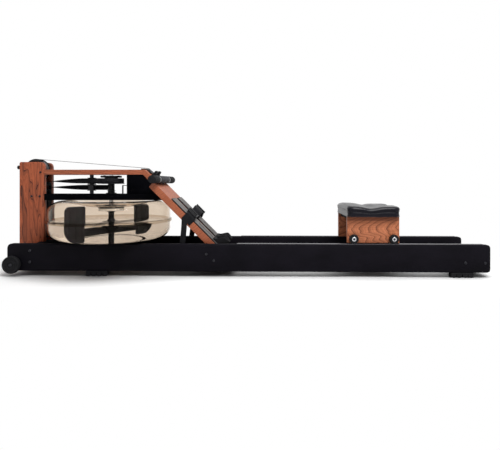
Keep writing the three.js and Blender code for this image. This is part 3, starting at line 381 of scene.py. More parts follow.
# Oaks: pale, middle and dark tones, the way the board lies and the look of its rings
OAKS = {
    "mast_oak": (((178, 94, 60), (136, 67, 41), (40, 15, 11)), dict(
        order="ZXY", shift=(0.98, 0.012, 0), lean=0.02, heart=0.2, rings=34, contrast=1.0, sharpness=3.6,
        bend=0.3, width=0.5, flow=(1.5, 10, 10))),
    "head_oak": (((172, 98, 68), (148, 80, 53), (78, 36, 24)), dict(
        shift=(0.4, 0.03, -0.46), lean=0.14, heart=0.09)),
    "plank_oak": (((184, 108, 74), (140, 72, 48), (78, 36, 24)), dict(
        turn=(0, SLOPE_ANGLE, 0), shift=(0, 0.02, 0), lean=0.15, heart=0.02, contrast=0.9, sharpness=3.0)),
    # The seat boards' top strip is darkened as painted shade under the cushion
    "seat_oak": (((196, 122, 84), (172, 100, 66), (80, 40, 26)), dict(
        order="XZY", shift=(-0.55, 0, -0.2), lean=0.22, heart=0.02, rings=150, contrast=1.0, sharpness=3.0,
        painted_shade_above=(0.239, 0.244))),
}
MATERIALS.update({name: wood(name, tones, **looks) for name, (tones, looks) in OAKS.items()})

# The finish of each CAD node, by how the node's name starts
CAD_FINISHES = {
    "mast_oak": ("mast_board_",),
    "head_oak": ("top_plank",),
    "plank_oak": ("foot_plank",),
    "seat_oak": ("seat_side_",),
    "black_wood": ("rail_", "cleat_", "front_bearer", "tail_spacer", "seat_base"),
    # Parts in shade under the top plank and in the mast take the painted-shade black;
    # the mast cover is a black sheet that stands partly for the shade inside the mast
    "deep_black": ("web_bracket", "mast_core", "deck", "mast_cover"),
    "track_metal": ("track_",),
    "black_rubber": ("foot_front_", "foot_rear_", "heel_rest_", "handle_sleeve"),
    "foam_grip": ("grip_",),
    "grey_pad": ("foot_pad_",),
    "webbing": ("foot_strap_", "drive_strap", "recoil_strap", "strap_winding"),
    "grey_webbing": ("strap_run",),
    "grey_metal": ("handle_bar",),
    "dark_steel": ("main_shaft", "idler_post"),
    "leather": ("seat_cushion",),
    "clear_tank": ("tank_lower", "tank_upper"),
    "water": ("water",),
    "blade_plastic": ("paddle",),
}


def paint(obj, key):
    obj.data.materials.clear()
    obj.data.materials.append(MATERIALS[key])


def paint_cad():
    for name, obj in nodes.items():
        keys = [key for key, starts in CAD_FINISHES.items() if name.startswith(starts)]
        paint(obj, keys[0] if keys else "black_plastic")


# Floor: keeps the machine's shadow, has painted shade under it, and turns to the background's white further
# out
FLOOR_REACH = 30.0
FLOOR_DROP = 0.0005
PAINTED_SHADE_REACH = 0.3
SHADOW_SHAPE = (0.72, 1.75, 1)
SHADOW_FADE = (0.72, 1.12)


def make_floor():
    mesh = bpy.data.meshes.new("floor")
    corners = [(x * FLOOR_REACH, y * FLOOR_REACH, 0) for x, y in ((-1, -1), (1, -1), (1, 1), (-1, 1))]
    mesh.from_pydata(corners, [], [(0, 1, 2, 3)])
    floor = bpy.data.objects.new("floor", mesh)
    floor.location = (0, 0, -FLOOR_DROP)
    bpy.context.scene.collection.objects.link(floor)
    shader = Shader("floor", Roughness=0.8, Specular_IOR_Level=0.1)
    cloud = shader.noise(shader.place(), 0.8, 2.0)
    pale = shader.ramp(cloud, (0.3, (0.93, 0.93, 0.93)), (0.7, (0.95, 0.95, 0.95)))
    # Painted shade: ambient occlusion darkens the floor's colour under and beside the machine
    occlusion = shader.node("AmbientOcclusion", {"Distance": PAINTED_SHADE_REACH}, samples=16)
    painted_floor_shade = shader.ramp(occlusion.outputs["AO"], (0.3, (0.12, 0.12, 0.125)), (0.8, FULL))
    shader.colour(shader.mix(1.0, pale, painted_floor_shade, "MULTIPLY"))
    distance = shader.node("VectorMath", {0: shader.place(scale=SHADOW_SHAPE)}, operation="LENGTH")
    far = shader.smooth_step(distance.outputs["Value"], *SHADOW_FADE)
    white = shader.node("Emission", {"Color": WHITE})
    seen = shader.times(far.outputs["Result"], shader.looking_rays())
    mixed = shader.node("MixShader", {0: seen, 1: shader.surface.outputs[0], 2: white.outputs[0]})
    shader.tree.links.new(mixed.outputs[0], shader.tree.nodes["Material Output"].inputs["Surface"])
    mesh.materials.append(shader.material)


# Mesh building; outlines and profiles are in millimetres
SHARP = math.radians(34)
STRAP_SHARP = math.radians(50)


def place_mesh(name, bm, key, body="frame", replaced=(), sharp=SHARP, matrix=None):
    """Makes an object from bm that rides on body and stands for the replaced CAD nodes."""
    if matrix is not None:
        bm.transform(matrix)
    bm.transform(Matrix.Translation(FRAME_SHIFT))
    bmesh.ops.remove_doubles(bm, verts=bm.verts, dist=1e-6)
    bmesh.ops.recalc_face_normals(bm, faces=bm.faces)
    mesh = bpy.data.meshes.new(name)
    bm.to_mesh(mesh)
    bm.free()
    mesh.polygons.foreach_set("use_smooth", [True] * len(mesh.polygons))
    mesh.set_sharp_from_angle(angle=sharp)
    obj = bpy.data.objects.new(name, mesh)
    bpy.context.scene.collection.objects.link(obj)
    paint(obj, key)
    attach(obj, body)
    if replaced:
        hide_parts(*replaced)
    return obj


def laid(a, b, c, axis):
    """A point with c along the axis and a and b across it."""
    return {"Z": (a, b, c), "Y": (a, c, b), "X": (c, a, b)}[axis]


def turned(profile, centre, axis="Z", segments=96, flip=1):
    """A closed solid from [radius, offset] points, turned about an axis through centre."""
    bm = bmesh.new()
    rings = []
    for radius, offset in profile:
        ring = []
        for k in range(segments if radius > 0 else 1):
            angle = 2 * math.pi * k / segments
            point = laid(radius * math.cos(angle), radius * math.sin(angle), offset * flip, axis)
            ring.append(bm.verts.new((Vector(point) + Vector(centre)) * MM))
        rings.append(ring)
    for first, second in zip(rings, rings[1:] + rings[:1]):
        if len(first) == 1 and len(second) == 1:
            continue
        for k in range(segments):
            after = (k + 1) % segments
            corners = [first[k % len(first)], first[after % len(first)],
                       second[after % len(second)], second[k % len(second)]]
            unique = list(dict.fromkeys(corners))
            if len(unique) > 2:
                bm.faces.new(unique)
    return bm


def rod(radius, low, high):
    return [(0, low), (radius, low), (radius, high), (0, high)]


def mirrored(half, middle=0):
    """A whole profile from its lower half, whose offsets are measured from the middle."""
    return [(r, middle + z) for r, z in half] + [(r, middle - z) for r, z in reversed(half)]


def rounded(outline, steps=6):
    """An outline in which each corner (x, y, radius) is an arc of its radius."""
    points = []
    for i, corner in enumerate(outline):
        here = Vector(corner[:2])
        radius = corner[2] if len(corner) > 2 else 0
        before = (Vector(outline[i - 1][:2]) - here).normalized()
        after = (Vector(outline[(i + 1) % len(outline)][:2]) - here).normalized()
        if not radius:
            points.append(tuple(here))
            continue
        half = before.angle(after) / 2
        reach = radius / math.tan(half)
        middle = here + (before + after).normalized() * (radius / math.sin(half))
        start = here + before * reach - middle
        end = here + after * reach - middle
        sweep = start.angle_signed(end)
        for k in range(steps + 1):
            turn = -sweep * k / steps
            points.append(tuple(middle + Matrix.Rotation(turn, 2) @ start))
    return points


def oblong(left, right, low, high, radius=0, far=None, steps=6):
    """A rectangle's outline with rounded corners; far is the radius at its right end."""
    far = radius if far is None else far
    return rounded([(left, low, radius), (right, low, far), (right, high, far), (left, high, radius)], steps)


def bevelled(bm, edges, width, steps=3):
    bmesh.ops.bevel(bm, geom=list(edges), offset=width * MM, segments=steps, profile=0.5, affect="EDGES",
                    clamp_overlap=True)
    return bm


def plate(outline, low, high, edge, axis="Z"):
    """A prism from an outline across the axis, from low to high along it, its long edges rounded."""
    bm = bmesh.new()
    bottom = [bm.verts.new(Vector(laid(a, b, low, axis)) * MM) for a, b in outline]
    top = [bm.verts.new(Vector(laid(a, b, high, axis)) * MM) for a, b in outline]
    caps = [bm.faces.new(bottom), bm.faces.new(top)]
    for i in range(len(outline)):
        after = (i + 1) % len(outline)
        bm.faces.new((bottom[i], bottom[after], top[after], top[i]))
    return bevelled(bm, {e for cap in caps for e in cap.edges}, edge)


def box(low, high, edge):
    """A block with all its edges rounded."""
    bm = bmesh.new()
    bmesh.ops.create_cube(bm, size=1)
    size = Vector(high) - Vector(low)
    for v in bm.verts:
        v.co = (Vector(a * b for a, b in zip(v.co, size)) + (Vector(low) + Vector(high)) / 2) * MM
    return bevelled(bm, bm.edges, edge, 2)


def add_to(target, *others):
    """Puts the other meshes' faces into target."""
    for other in others:
        mesh = bpy.data.meshes.new("part")
        other.to_mesh(mesh)
        other.free()
        target.from_mesh(mesh)
        bpy.data.meshes.remove(mesh)
    return target


def moved(bm, matrix):
    bm.transform(matrix)
    return bm


def circle_spots(count, radius, offset=0.0):
    """Places evenly round a circle; offset is a share of the step between them."""
    for k in range(count):
        angle = 2 * math.pi * (k + offset) / count
        yield radius * math.cos(angle), radius * math.sin(angle)


# Directions, and the foot plank's slope from its mitre: X down the plank, Z off it
ALONG, ACROSS, UP = Vector((1, 0, 0)), Vector((0, 1, 0)), Vector((0, 0, 1))
MITRE_X, MITRE_Z = -472, 468
HALF_SLOPE = math.tan(SLOPE_ANGLE / 2)
SLOPE = Matrix.Translation((MITRE_X * MM, 0, MITRE_Z * MM)) @ Matrix.Rotation(SLOPE_ANGLE, 4, "Y")


def on_slope(down, off):
    """A point from a distance down the foot plank and off its face."""
    return (SLOPE @ Vector((down * MM, 0, off * MM))) / MM


# Straps: a band of rectangular section with its weave laid out in metres
def band(stations, width, thickness):
    """stations are (place, across, out); the band's edges are rounded a little."""
    bm = bmesh.new()
    uv = bm.loops.layers.uv.new("UVMap")
    half, thin = width / 2, thickness / 2
    nip = thin * 0.7
    section = ((-half, -thin + nip), (-half + nip, -thin), (half - nip, -thin), (half, -thin + nip),
               (half, thin - nip), (half - nip, thin), (-half + nip, thin), (-half, thin - nip))
    rings, lengths, run, before = [], [], 0.0, stations[0][0]
    for place, across, out in stations:
        run += (place - before).length
        before = place
        lengths.append(run * MM)
        rings.append([bm.verts.new((place + across * a + out * b) * MM) for a, b in section])
    count = len(section)
    for i in range(len(rings) - 1):
        for k in range(count):
            after = (k + 1) % count
            face = bm.faces.new((rings[i][k], rings[i][after], rings[i + 1][after], rings[i + 1][k]))
            spots = ((k, i), (k + 1, i), (k + 1, i + 1), (k, i + 1))
            for loop, (side, step) in zip(face.loops, spots):
                loop[uv].uv = (section[side % count][0] * MM, lengths[step])
    bm.faces.new(rings[0])
    bm.faces.new(list(reversed(rings[-1])))
    return bm


def smooth_run(points, turns, steps):
    """Extra points along a polyline whose corners are rounded to the given radii."""
    path = [points[0]]
    for before, here, after, radius in zip(points, points[1:], points[2:], turns):
        back, ahead = (before - here).normalized(), (after - here).normalized()
        half = back.angle(ahead) / 2
        reach = min(radius / math.tan(half), (before - here).length / 2, (after - here).length / 2)
        start, end = here + back * reach, here + ahead * reach
        for k in range(steps + 1):
            t = k / steps
            path.append(start * (1 - t) ** 2 + here * (2 * t * (1 - t)) + end * t ** 2)
    path.append(points[-1])
    return path


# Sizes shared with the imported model, in millimetres
SHAFT_X = -645.0
IDLER_X = -738.0
PULLEY_X = -997.0
MAST_REAR = -942.0
RAIL_OUTER = 153.0
STRAP_WIDTH = 24.0
STRAP_THICKNESS = 1.8
STRAP_HIGH = 416.3
STRAP_LOW = 385.5
DRIVE_HEIGHT = 467.0
DRIVE_RADIUS = 50.5
DRIVE_WRAP = 52.1
RECOIL_HEIGHT = 362.0
RECOIL_RADIUS = 22.0
RECOIL_WRAP = 24.0
RECOIL_END = 134.3
IDLER_PASS = 18.2
IDLER_REACH = 21.0
WINDING_INNER = 42.6
WINDING_PITCH = 2.7
WINDING_LOOPS = 6
WOUND_RADIUS = 61.2
RECOIL_DRUM_RADIUS = 16.2


def about_shaft(profile, segments=96):
    return turned(profile, (SHAFT_X, 0, 0), segments=segments)


# Tank: both shells' profiles run round the outside and back along the inside of their wall
TANK_RADIUS = 273.0
TANK_LIP = TANK_RADIUS + 6
TANK_WALL = 4.0
TANK_INNER = TANK_RADIUS - TANK_WALL
TANK_FOOT = 140.3
FLOOR_BEND, FLOOR_RISE, FLOOR_TOP = 81, 56, 196.3
ROOF_BEND, ROOF_RISE, ROOF_FOOT = 62.0, 53, 272.3
WELL_RADIUS, WELL_TOP, WELL_FALL = 74, 300.3, 25
SEAM_LOW, SEAM_HIGH = 232.15, 232.45
WATER_GAP = 0.6
WATER_TOP = 230.2
BAND_INNER, BAND_LOW, BAND_HIGH = 268.5, 224.5, 240


def tank_curve(bend, centre, rise, depth, start, end, steps=16):
    """Points of a quarter round between the tank's flat and its wall, depth under the outer face."""
    points = []
    for i in range(steps + 1):
        angle = math.radians(start + (end - start) * i / steps)
        out = TANK_RADIUS - bend + (bend - depth) * math.sin(angle)
        points.append((out, centre + (rise - math.copysign(depth, rise)) * math.cos(angle)))
    return points


def tank_floor(depth, start, end):
    return tank_curve(FLOOR_BEND, FLOOR_TOP, -FLOOR_RISE, depth, start, end)


def tank_roof(depth, start, end):
    return tank_curve(ROOF_BEND, ROOF_FOOT, ROOF_RISE, depth, start, end)


def tank_crown(depth, start, end, steps=14):
    """Points of the fall from the crown to the well."""
    points = []
    reach = TANK_RADIUS - ROOF_BEND - WELL_RADIUS
    for i in range(1, steps):
        share = start + (end - start) * i / steps
        fall = WELL_FALL * (1 - math.cos(share * math.pi)) / 2
        points.append((TANK_RADIUS - ROOF_BEND - reach * share, WELL_TOP + WELL_FALL - depth - fall))
    return points


def tint_band(shell):
    """The seam's lip and the wall behind it take a deeper tint."""
    shell.data.materials.append(MATERIALS["tank_band"])
    for face in shell.data.polygons:
        radius = math.hypot(face.center.x - FRAME_SHIFT.x - SHAFT_X * MM, face.center.y)
        if radius > BAND_INNER * MM and BAND_LOW * MM < face.center.z < BAND_HIGH * MM:
            face.material_index = 1


def make_tank():
    lower = [(0, TANK_FOOT), *tank_floor(0, 0, 90), (TANK_RADIUS, 225.15), (276, 225.4), (278.4, 226.4),
             (TANK_LIP, 228), (TANK_LIP, SEAM_LOW), (TANK_INNER, SEAM_LOW), *tank_floor(TANK_WALL, 90, 0),
             (0, TANK_FOOT + TANK_WALL)]
    upper = [(TANK_INNER, SEAM_HIGH), (TANK_LIP, SEAM_HIGH), (TANK_LIP, 236.6), (278.4, 238.2), (276, 239.2),
             (TANK_RADIUS, 239.45), *tank_roof(0, 90, 0), *tank_crown(0, 0, 1), (WELL_RADIUS, WELL_TOP),
             (30, WELL_TOP), (30, WELL_TOP - TANK_WALL), (WELL_RADIUS, WELL_TOP - TANK_WALL),
             *tank_crown(TANK_WALL, 1, 0), *tank_roof(TANK_WALL, 0, 90)]
    for end, profile in (("lower", lower), ("upper", upper)):
        bm = about_shaft(profile, 160)
        tint_band(place_mesh(f"tank_shell_{end}", bm, "clear_tank", replaced=[f"tank_{end}"]))
    body = [(0, TANK_FOOT + TANK_WALL + WATER_GAP), *tank_floor(TANK_WALL + WATER_GAP, 0, 90), (268.4, 228.6),
            (267.4, 229.9), (264, WATER_TOP), (0, WATER_TOP)]
    place_mesh("water_body", about_shaft(body, 128), "water", "paddle", ["water"])


# Neck seal: a white ring in the well, a collar over it and a screwed disc on top
SEAL_SCREWS, SEAL_TOP = (8, 60), 306.5


def make_seal():
    disc = [(11, 300.7), (68.5, 300.7), (70, 302), (70, 305), (68.5, 306.6), (30, 306.6), (30, 311.6),
            (28, 313.6), (11, 313.6)]
    collar = [(11, 289.2), (57, 289.2), (60, 294), (60, 295.2), (59, 296), (29.7, 296), (29.7, 300.5),
              (11, 300.5)]
    ring = [(25, 277), (55, 277), (57, 278.4), (57, 288), (56, 289), (25, 289)]
    head = [(0, 0), (4, 0), (4, 1.6), (3, 2.4), (1.4, 2.4), (1.4, 1.4), (0, 1.4)]
    place_mesh("seal_disc", about_shaft(disc), "satin_plastic", replaced=["tank_seal"])
    place_mesh("seal_collar", about_shaft(collar), "satin_plastic")
    place_mesh("seal_ring", about_shaft(ring), "white_plastic")
    screws = bmesh.new()
    for x, y in circle_spots(*SEAL_SCREWS, 0.5):
        add_to(screws, turned(head, (SHAFT_X + x, y, SEAL_TOP), segments=20))
    place_mesh("seal_screws", screws, "bolt_steel")


# Paddle: hub, arm and two ribbed blades
PADDLE_TURN = math.radians(64)
RIB_PLACES = (162, 196, 230)
RIM_LOW, RIM_HIGH = 290, 294
ARM_HALF, BLADE_HALF = 4.5, 2.5


def make_paddle():
    hub = [(0, 144.6), (12.4, 144.6), (13, 146), (13, 174), (24, 182), (36, 196), (42, 210), (42, 214),
           (38, 217), (22, 226), (13, 240), (13, 268), (16, 271), (23, 275), (23, 281.7), (0, 281.7)]
    arm = [(-151, 172), (151, 172), (151, 206), (40, 206), (26, 212), (-26, 212), (-40, 206), (-151, 206)]
    bm = add_to(turned(hub, (0, 0, 0), segments=64), plate(arm, -ARM_HALF, ARM_HALF, 1.6, "Y"))
    for half_turn in (0, math.pi):
        outline = rounded([(150, 153, 6), (254, 153, 56), (254, 304, 24), (150, 304, 8)], 12)
        blade = plate(outline, -BLADE_HALF, BLADE_HALF, 1.6, "Y")
        rim = plate(oblong(150.6, 246, RIM_LOW, RIM_HIGH, 2, steps=2), -ARM_HALF, ARM_HALF, 1, "Y")
        ribs = [plate(oblong(x, x + 3, 166, RIM_LOW), -ARM_HALF, ARM_HALF, 1, "Y") for x in RIB_PLACES]
        add_to(bm, moved(add_to(blade, rim, *ribs), Matrix.Rotation(half_turn, 4, "Z")))
    place = Matrix.Translation((SHAFT_X * MM, 0, 0)) @ Matrix.Rotation(PADDLE_TURN, 4, "Z")
    place_mesh("paddle_rotor", moved(bm, place), "blade_plastic", "paddle", ["paddle"])


# Drum, shaft and idlers
WINDING_STEPS = 72
DECK_TOP = 356.3
IDLER_HALF = 15
IDLER_TOP = 444.7
DRUM_SCREWS, DRUM_TOP = (6, 36), 440.4


def make_drum():
    profile = [(9.8, 369), (19, 369), (19, 371), (15, 371.6), (15, 401.4), (17, 402), (61.2, 402),
               (62, 402.8), (61.2, 404), (41, 404), (41, 428.6), (30, 428.6), (30, 431.6), (46.8, 431.6),
               (48, 432.8), (48, 439), (46.4, 440.6), (18, 440.6), (16, 439.6), (9.8, 439.6)]
    head = [(0, 0), (3, 0), (3, 1.2), (2.2, 1.8), (0, 1.8)]
    bm = about_shaft(profile, 128)
    for x, y in circle_spots(*DRUM_SCREWS):
        add_to(bm, turned(head, (SHAFT_X + x, y, DRUM_TOP), segments=18))
    place_mesh("drum_body", bm, "black_plastic", "drum", ["strap_drum"])


def make_winding():
    """One unbroken spiral of strap on the drum."""
    stations = []
    for i in range(WINDING_LOOPS * WINDING_STEPS + 1):
        turn = 2 * math.pi * i / WINDING_STEPS - math.pi / 2
        out = Vector((math.cos(turn), math.sin(turn), 0))
        radius = WINDING_INNER + WINDING_PITCH * i / WINDING_STEPS
        stations.append((Vector((SHAFT_X, 0, STRAP_HIGH)) + out * radius, UP, out))
    winding = band(stations, STRAP_WIDTH, STRAP_THICKNESS)
    place_mesh("wound_strap", winding, "webbing", "drum", ["strap_winding"], sharp=STRAP_SHARP)


def make_shaft():
    shaft = [(0, 282.1), (9.5, 282.1), (9.5, 440.8), (8.4, 442), (0, 442)]
    place_mesh("shaft_rod", about_shaft(shaft, 48), "bolt_steel", "paddle", ["main_shaft"])
    housing = [(9.8, DECK_TOP), (23.2, DECK_TOP), (24, 357.2), (24, 359.4), (23.2, 360.3), (17.2, 360.3),
               (16, 361.4), (16, 368), (15.2, 368.7), (9.8, 368.7)]
    place_mesh("housing_ring", about_shaft(housing, 72), "black_plastic", replaced=["bearing_housing"])


def make_idlers():
    post = turned(rod(9, DECK_TOP, IDLER_TOP), (IDLER_X, 0, 0), segments=48)
    place_mesh("idler_rod", post, "dark_steel", replaced=["idler_post"])
    half = [(9.3, -IDLER_HALF), (20.2, -IDLER_HALF), (21, 0.8 - IDLER_HALF), (21, 1.4 - IDLER_HALF),
            (17, 2 - IDLER_HALF)]
    for level, middle in (("upper", STRAP_HIGH), ("lower", STRAP_LOW)):
        roller = turned(mirrored(half, middle), (IDLER_X, 0, 0), segments=72)
        body = f"idler_{level}"
        place_mesh(f"idler_roller_{level}", roller, "satin_plastic", body, [body])


def make_pulleys():
    drive_web = [(14, -17), (16, -13), (DRIVE_RADIUS - 10, -13), (DRIVE_RADIUS - 7, -17)]
    for body, radius, height, web in (("top_pulley", DRIVE_RADIUS, DRIVE_HEIGHT, drive_web),
                                      ("recoil_pulley", RECOIL_RADIUS, RECOIL_HEIGHT, [])):
        rim = radius + 2.5
        half = [(0, -22.7), (7, -22.7), (7, -17), *web, (rim - 0.8, -17), (rim, -16.2), (rim, -13.2),
                (rim - 0.6, -12.6), (radius, -12.6)]
        wheel = turned(mirrored(half), (PULLEY_X, 0, height), "Y")
        place_mesh(f"{body}_wheel", wheel, "satin_plastic", body, [body])


# Drive and recoil straps
def drum_start(radius, side, level):
    """Where a straight strap from the idler touches a drum."""
    along, off = IDLER_X - SHAFT_X, side * IDLER_PASS
    angle = math.atan2(off, along) - side * math.acos(radius / math.hypot(along, off))
    out = Vector((math.cos(angle), math.sin(angle), 0))
    return (Vector((SHAFT_X, 0, level)) + out * radius, UP, out * side)


def twisted(y_start, z_start, z_end, lean, steps=30):
    """Stations of a strap that turns from upright at the idler to flat at the mast."""
    start, end = IDLER_X - IDLER_REACH, MAST_REAR + 10
    stations = []
    for i in range(steps + 1):
        t = i / steps
        turn = t * math.pi / 2
        place = Vector((start + (end - start) * t, y_start * (1 - t), z_start + (z_end - z_start) * t))
        across = Vector((0, lean * math.sin(turn), math.cos(turn)))
        stations.append((place, across, Vector((0, math.cos(turn), -lean * math.sin(turn)))))
    return stations


def wrapped(radius, height, start, end, across, steps):
    stations = []
    for i in range(steps + 1):
        angle = start + (end - start) * i / steps
        out = Vector((-math.sin(angle), 0, -math.cos(angle)))
        stations.append((Vector((PULLEY_X, 0, height)) + out * radius, across, out))
    return stations


def make_straps():
    at_idler = (Vector((IDLER_X, -IDLER_PASS, STRAP_HIGH)), UP, ACROSS)
    drive = [drum_start(WOUND_RADIUS, -1, STRAP_HIGH), at_idler]
    drive += twisted(-IDLER_PASS, STRAP_HIGH, DRIVE_HEIGHT - DRIVE_WRAP, 1)
    drive += wrapped(DRIVE_WRAP, DRIVE_HEIGHT, 0, math.pi, ACROSS, 48)
    at_idler = (Vector((IDLER_X, IDLER_PASS, STRAP_LOW)), UP, ACROSS)
    recoil = [drum_start(RECOIL_DRUM_RADIUS, 1, STRAP_LOW), at_idler]
    recoil += twisted(IDLER_PASS, STRAP_LOW, RECOIL_HEIGHT + RECOIL_WRAP, -1)
    recoil += wrapped(RECOIL_WRAP, RECOIL_HEIGHT, math.pi, math.pi / 2, -ACROSS, 20)
    recoil.append((Vector((PULLEY_X - RECOIL_WRAP, 0, RECOIL_END)), -ACROSS, -ALONG))
    for end, stations, node in (("pulley", drive, "drive_strap"), ("recoil", recoil, "recoil_strap")):
        strap = band(stations, STRAP_WIDTH, STRAP_THICKNESS)
        place_mesh(f"strap_to_{end}", strap, "webbing", replaced=[node], sharp=STRAP_SHARP)


# Free strap: from the drive pulley over the guide to the handle's lug
GUIDE_CLEARANCE, GUIDE_TURN = 7.5, 16
STRAIGHT_STEPS = 80
LUG_DOWN, LUG_OFF = 61.65, 13.3
FREE_STRAP_WIDTH = 23.6


def make_free_strap():
    corner = Vector((MITRE_X + GUIDE_CLEARANCE * HALF_SLOPE, 0, MITRE_Z + GUIDE_CLEARANCE))
    start = Vector((PULLEY_X + 0.3, 0, DRIVE_HEIGHT + DRIVE_WRAP))
    straight = [start.lerp(corner, k / STRAIGHT_STEPS) for k in range(STRAIGHT_STEPS - 2)]
    path = straight + smooth_run([straight[-1], corner, on_slope(LUG_DOWN, LUG_OFF)], [GUIDE_TURN], 12)[1:]
    stations = []
    for i, place in enumerate(path):
        along = (path[min(i + 1, len(path) - 1)] - path[max(i - 1, 0)]).normalized()
        stations.append((place, ACROSS, Vector((-along.z, 0, along.x))))
    run = place_mesh("free_strap", band(stations, FREE_STRAP_WIDTH, STRAP_THICKNESS), "grey_webbing",
                     replaced=["strap_run"], sharp=STRAP_SHARP)
    run.parent = None
    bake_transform(run)


# Handle, its rest and the strap guide; places on the slope are (down, across, off)
HANDLE_SPOT = (82.8, 0, 17.8)
HANDLE_HALF = 183.7
SLEEVE_BANDS = (-68, -20, 14, 62)
REST_START, REST_END, REST_HALF, REST_MOUTH = 37, 65, 37, 17


def make_handle():
    centre = on_slope(HANDLE_SPOT[0], HANDLE_SPOT[2])
    bar = turned(rod(15, -HANDLE_HALF, HANDLE_HALF), centre, "Y", 64)
    place_mesh("handle_tube", bar, "grey_metal", "handle", ["handle_bar"])
    grip = [(0, 184), (15.3, 184), (15.3, 102.4), (16.2, 102), (17.2, 102.8), (17.5, 104), (17.5, 183),
            (17, 186.4), (15.6, 188.8), (13, 190), (0, 190)]
    for side, way in SIDES:
        foam = turned(grip, centre, "Y", 80, way)
        place_mesh(f"hand_grip_{side}", foam, "foam_grip", "handle", [f"grip_{side}"])
    sleeve = turned(mirrored([(15.3, -70), (16.6, -70), (17.5, -69)]), HANDLE_SPOT, "Y", 80)
    lug = plate(oblong(62.4, HANDLE_SPOT[0], -14, 14, 4, 0), 8.9, 17.7, 1.4)
    pin = turned(rod(3.2, -13.9, 13.9), (67.5, 0, 14), "Y", 24)
    bands = [turned([(17.4, y), (17.75, y + 0.3), (17.75, y + 5.7), (17.4, y + 6)], HANDLE_SPOT, "Y", 64)
             for y in SLEEVE_BANDS]
    place_mesh("handle_centre", add_to(sleeve, lug, pin, *bands), "grey_rubber", "handle", ["handle_sleeve"],
               matrix=SLOPE)


def make_rest_and_guide():
    base = plate(oblong(REST_START, REST_END, -REST_HALF, REST_HALF, 4), 0.3, 7.3, 1.6)
    horn = rounded([(37, 0.3), (65, 0.3), (64, 9, 4), (50, 15, 8), (48, 33, 5), (37, 33, 5)])
    for low, high in ((-REST_HALF, -REST_MOUTH), (REST_MOUTH, REST_HALF)):
        add_to(base, plate(horn, low, high, 1.6, "Y"))
    place_mesh("rest_horns", base, "black_plastic", replaced=["handle_rest"], matrix=SLOPE)
    over = [tuple(on_slope(down, off).xz) for down, off in ((26, 0.3), (26, 6), (10, 6), (5, 6))]
    guide = [(-498, 468.3), (-471.9, 468.3), *over, (-473.4, 472.9), (-478, 474), (-498, 474)]
    place_mesh("guide_saddle", plate(guide, -20, 20, 1, "Y"), "satin_plastic", replaced=["strap_guide"])


# Screws, bolts and the mast's rubber knobs, each set one piece
PLANK_SCREWS = ((92, -30), (92, 30), (560, -60), (560, 60))
MAST_SCREWS = ((-1000, 345), (-962, 345), (-958, 456))
RAIL_BOLTS = ((-948, 109), (-948, 60), (-172, 97), (-139, 69), (943, 63), (1027, 63))
MAST_HALF = 46
KNOB_X, KNOB_SIDE, KNOB_HEIGHT = -1058, 34.5, 479


def both_sides(profile, spots, reach, segments):
    """The same turned head at each (x, z), on the left and on the right, facing outwards."""
    heads = bmesh.new()
    for _, way in SIDES:
        for x, z in spots:
            add_to(heads, turned(profile, (x, way * reach, z), "Y", segments, way))
    return heads


def make_screw_heads():
    screws = bmesh.new()
    head = [(0, 0), (5, 0), (5, 1.2), (4.1, 2.4), (2.3, 2.6), (2.3, 1.3), (0, 1.3)]
    for down, y in PLANK_SCREWS:
        add_to(screws, moved(turned(head, (down, y, 0), segments=24), SLOPE))
    place_mesh("plank_screws", screws, "dark_steel")
    place_mesh("mast_screws", both_sides(head, MAST_SCREWS, MAST_HALF, 24), "dark_steel")


def make_bolts():
    head = [(0, 0), (6, 0), (6, 1), (5, 2.2), (2.6, 2.6), (2.6, 1), (0, 1)]
    place_mesh("rail_bolts", both_sides(head, RAIL_BOLTS, RAIL_OUTER, 32), "dark_steel")
    knobs = bmesh.new()
    knob = [(0, 0), (5, 0), (5, 3), (8.4, 3.6), (9, 5), (9, 10.6), (8, 12.4), (5, 13.4), (0, 13.6)]
    for _, way in SIDES:
        add_to(knobs, turned(knob, (KNOB_X, way * KNOB_SIDE, KNOB_HEIGHT), "X", 40, -1))
    place_mesh("mast_buffers", knobs, "black_rubber")


# Rubber feet: rounded lobes under a strip, in the place of each packed foot
FOOT_LOBES, LOBE_GAP, LOBE_RADIUS = 4, 3, 7
STRIP_THICKNESS, LOBE_OVERLAP = 7, 2


def make_feet():
    for name in [node for node in nodes if node.startswith(("foot_front_", "foot_rear_"))]:
        corners = [v.co - FRAME_SHIFT for v in nodes[name].data.vertices]
        low = Vector([min(c[i] for c in corners) for i in range(3)]) / MM
        high = Vector([max(c[i] for c in corners) for i in range(3)]) / MM
        pitch = (high.x - low.x + LOBE_GAP) / FOOT_LOBES
        foot = plate(oblong(low.x, high.x, high.z - STRIP_THICKNESS, high.z), low.y, high.y, 0.8, "Y")
        for k in range(FOOT_LOBES):
            start = low.x + pitch * k
            end = start + pitch - LOBE_GAP
            top = high.z - STRIP_THICKNESS + LOBE_OVERLAP
            lobe = rounded([(start, 0, LOBE_RADIUS), (end, 0, LOBE_RADIUS), (end, top), (start, top)])
            add_to(foot, plate(lobe, low.y, high.y, 0.8, "Y"))
        place_mesh(f"rubber_{name}", foot, "black_rubber", replaced=[name])


# Wheels: profiles run outwards from the wheel's inner face
TRANSPORT_X, TRANSPORT_SIDE, TRANSPORT_HEIGHT = -1020, 153.3, 50
TYRE_STUDS, STUD_FACE = (6, 26), 23
SEAT_WHEELS = (("front", 469), ("rear", 642))
SEAT_WHEEL_SIDE, SEAT_WHEEL_HEIGHT = 128.3, 162.8


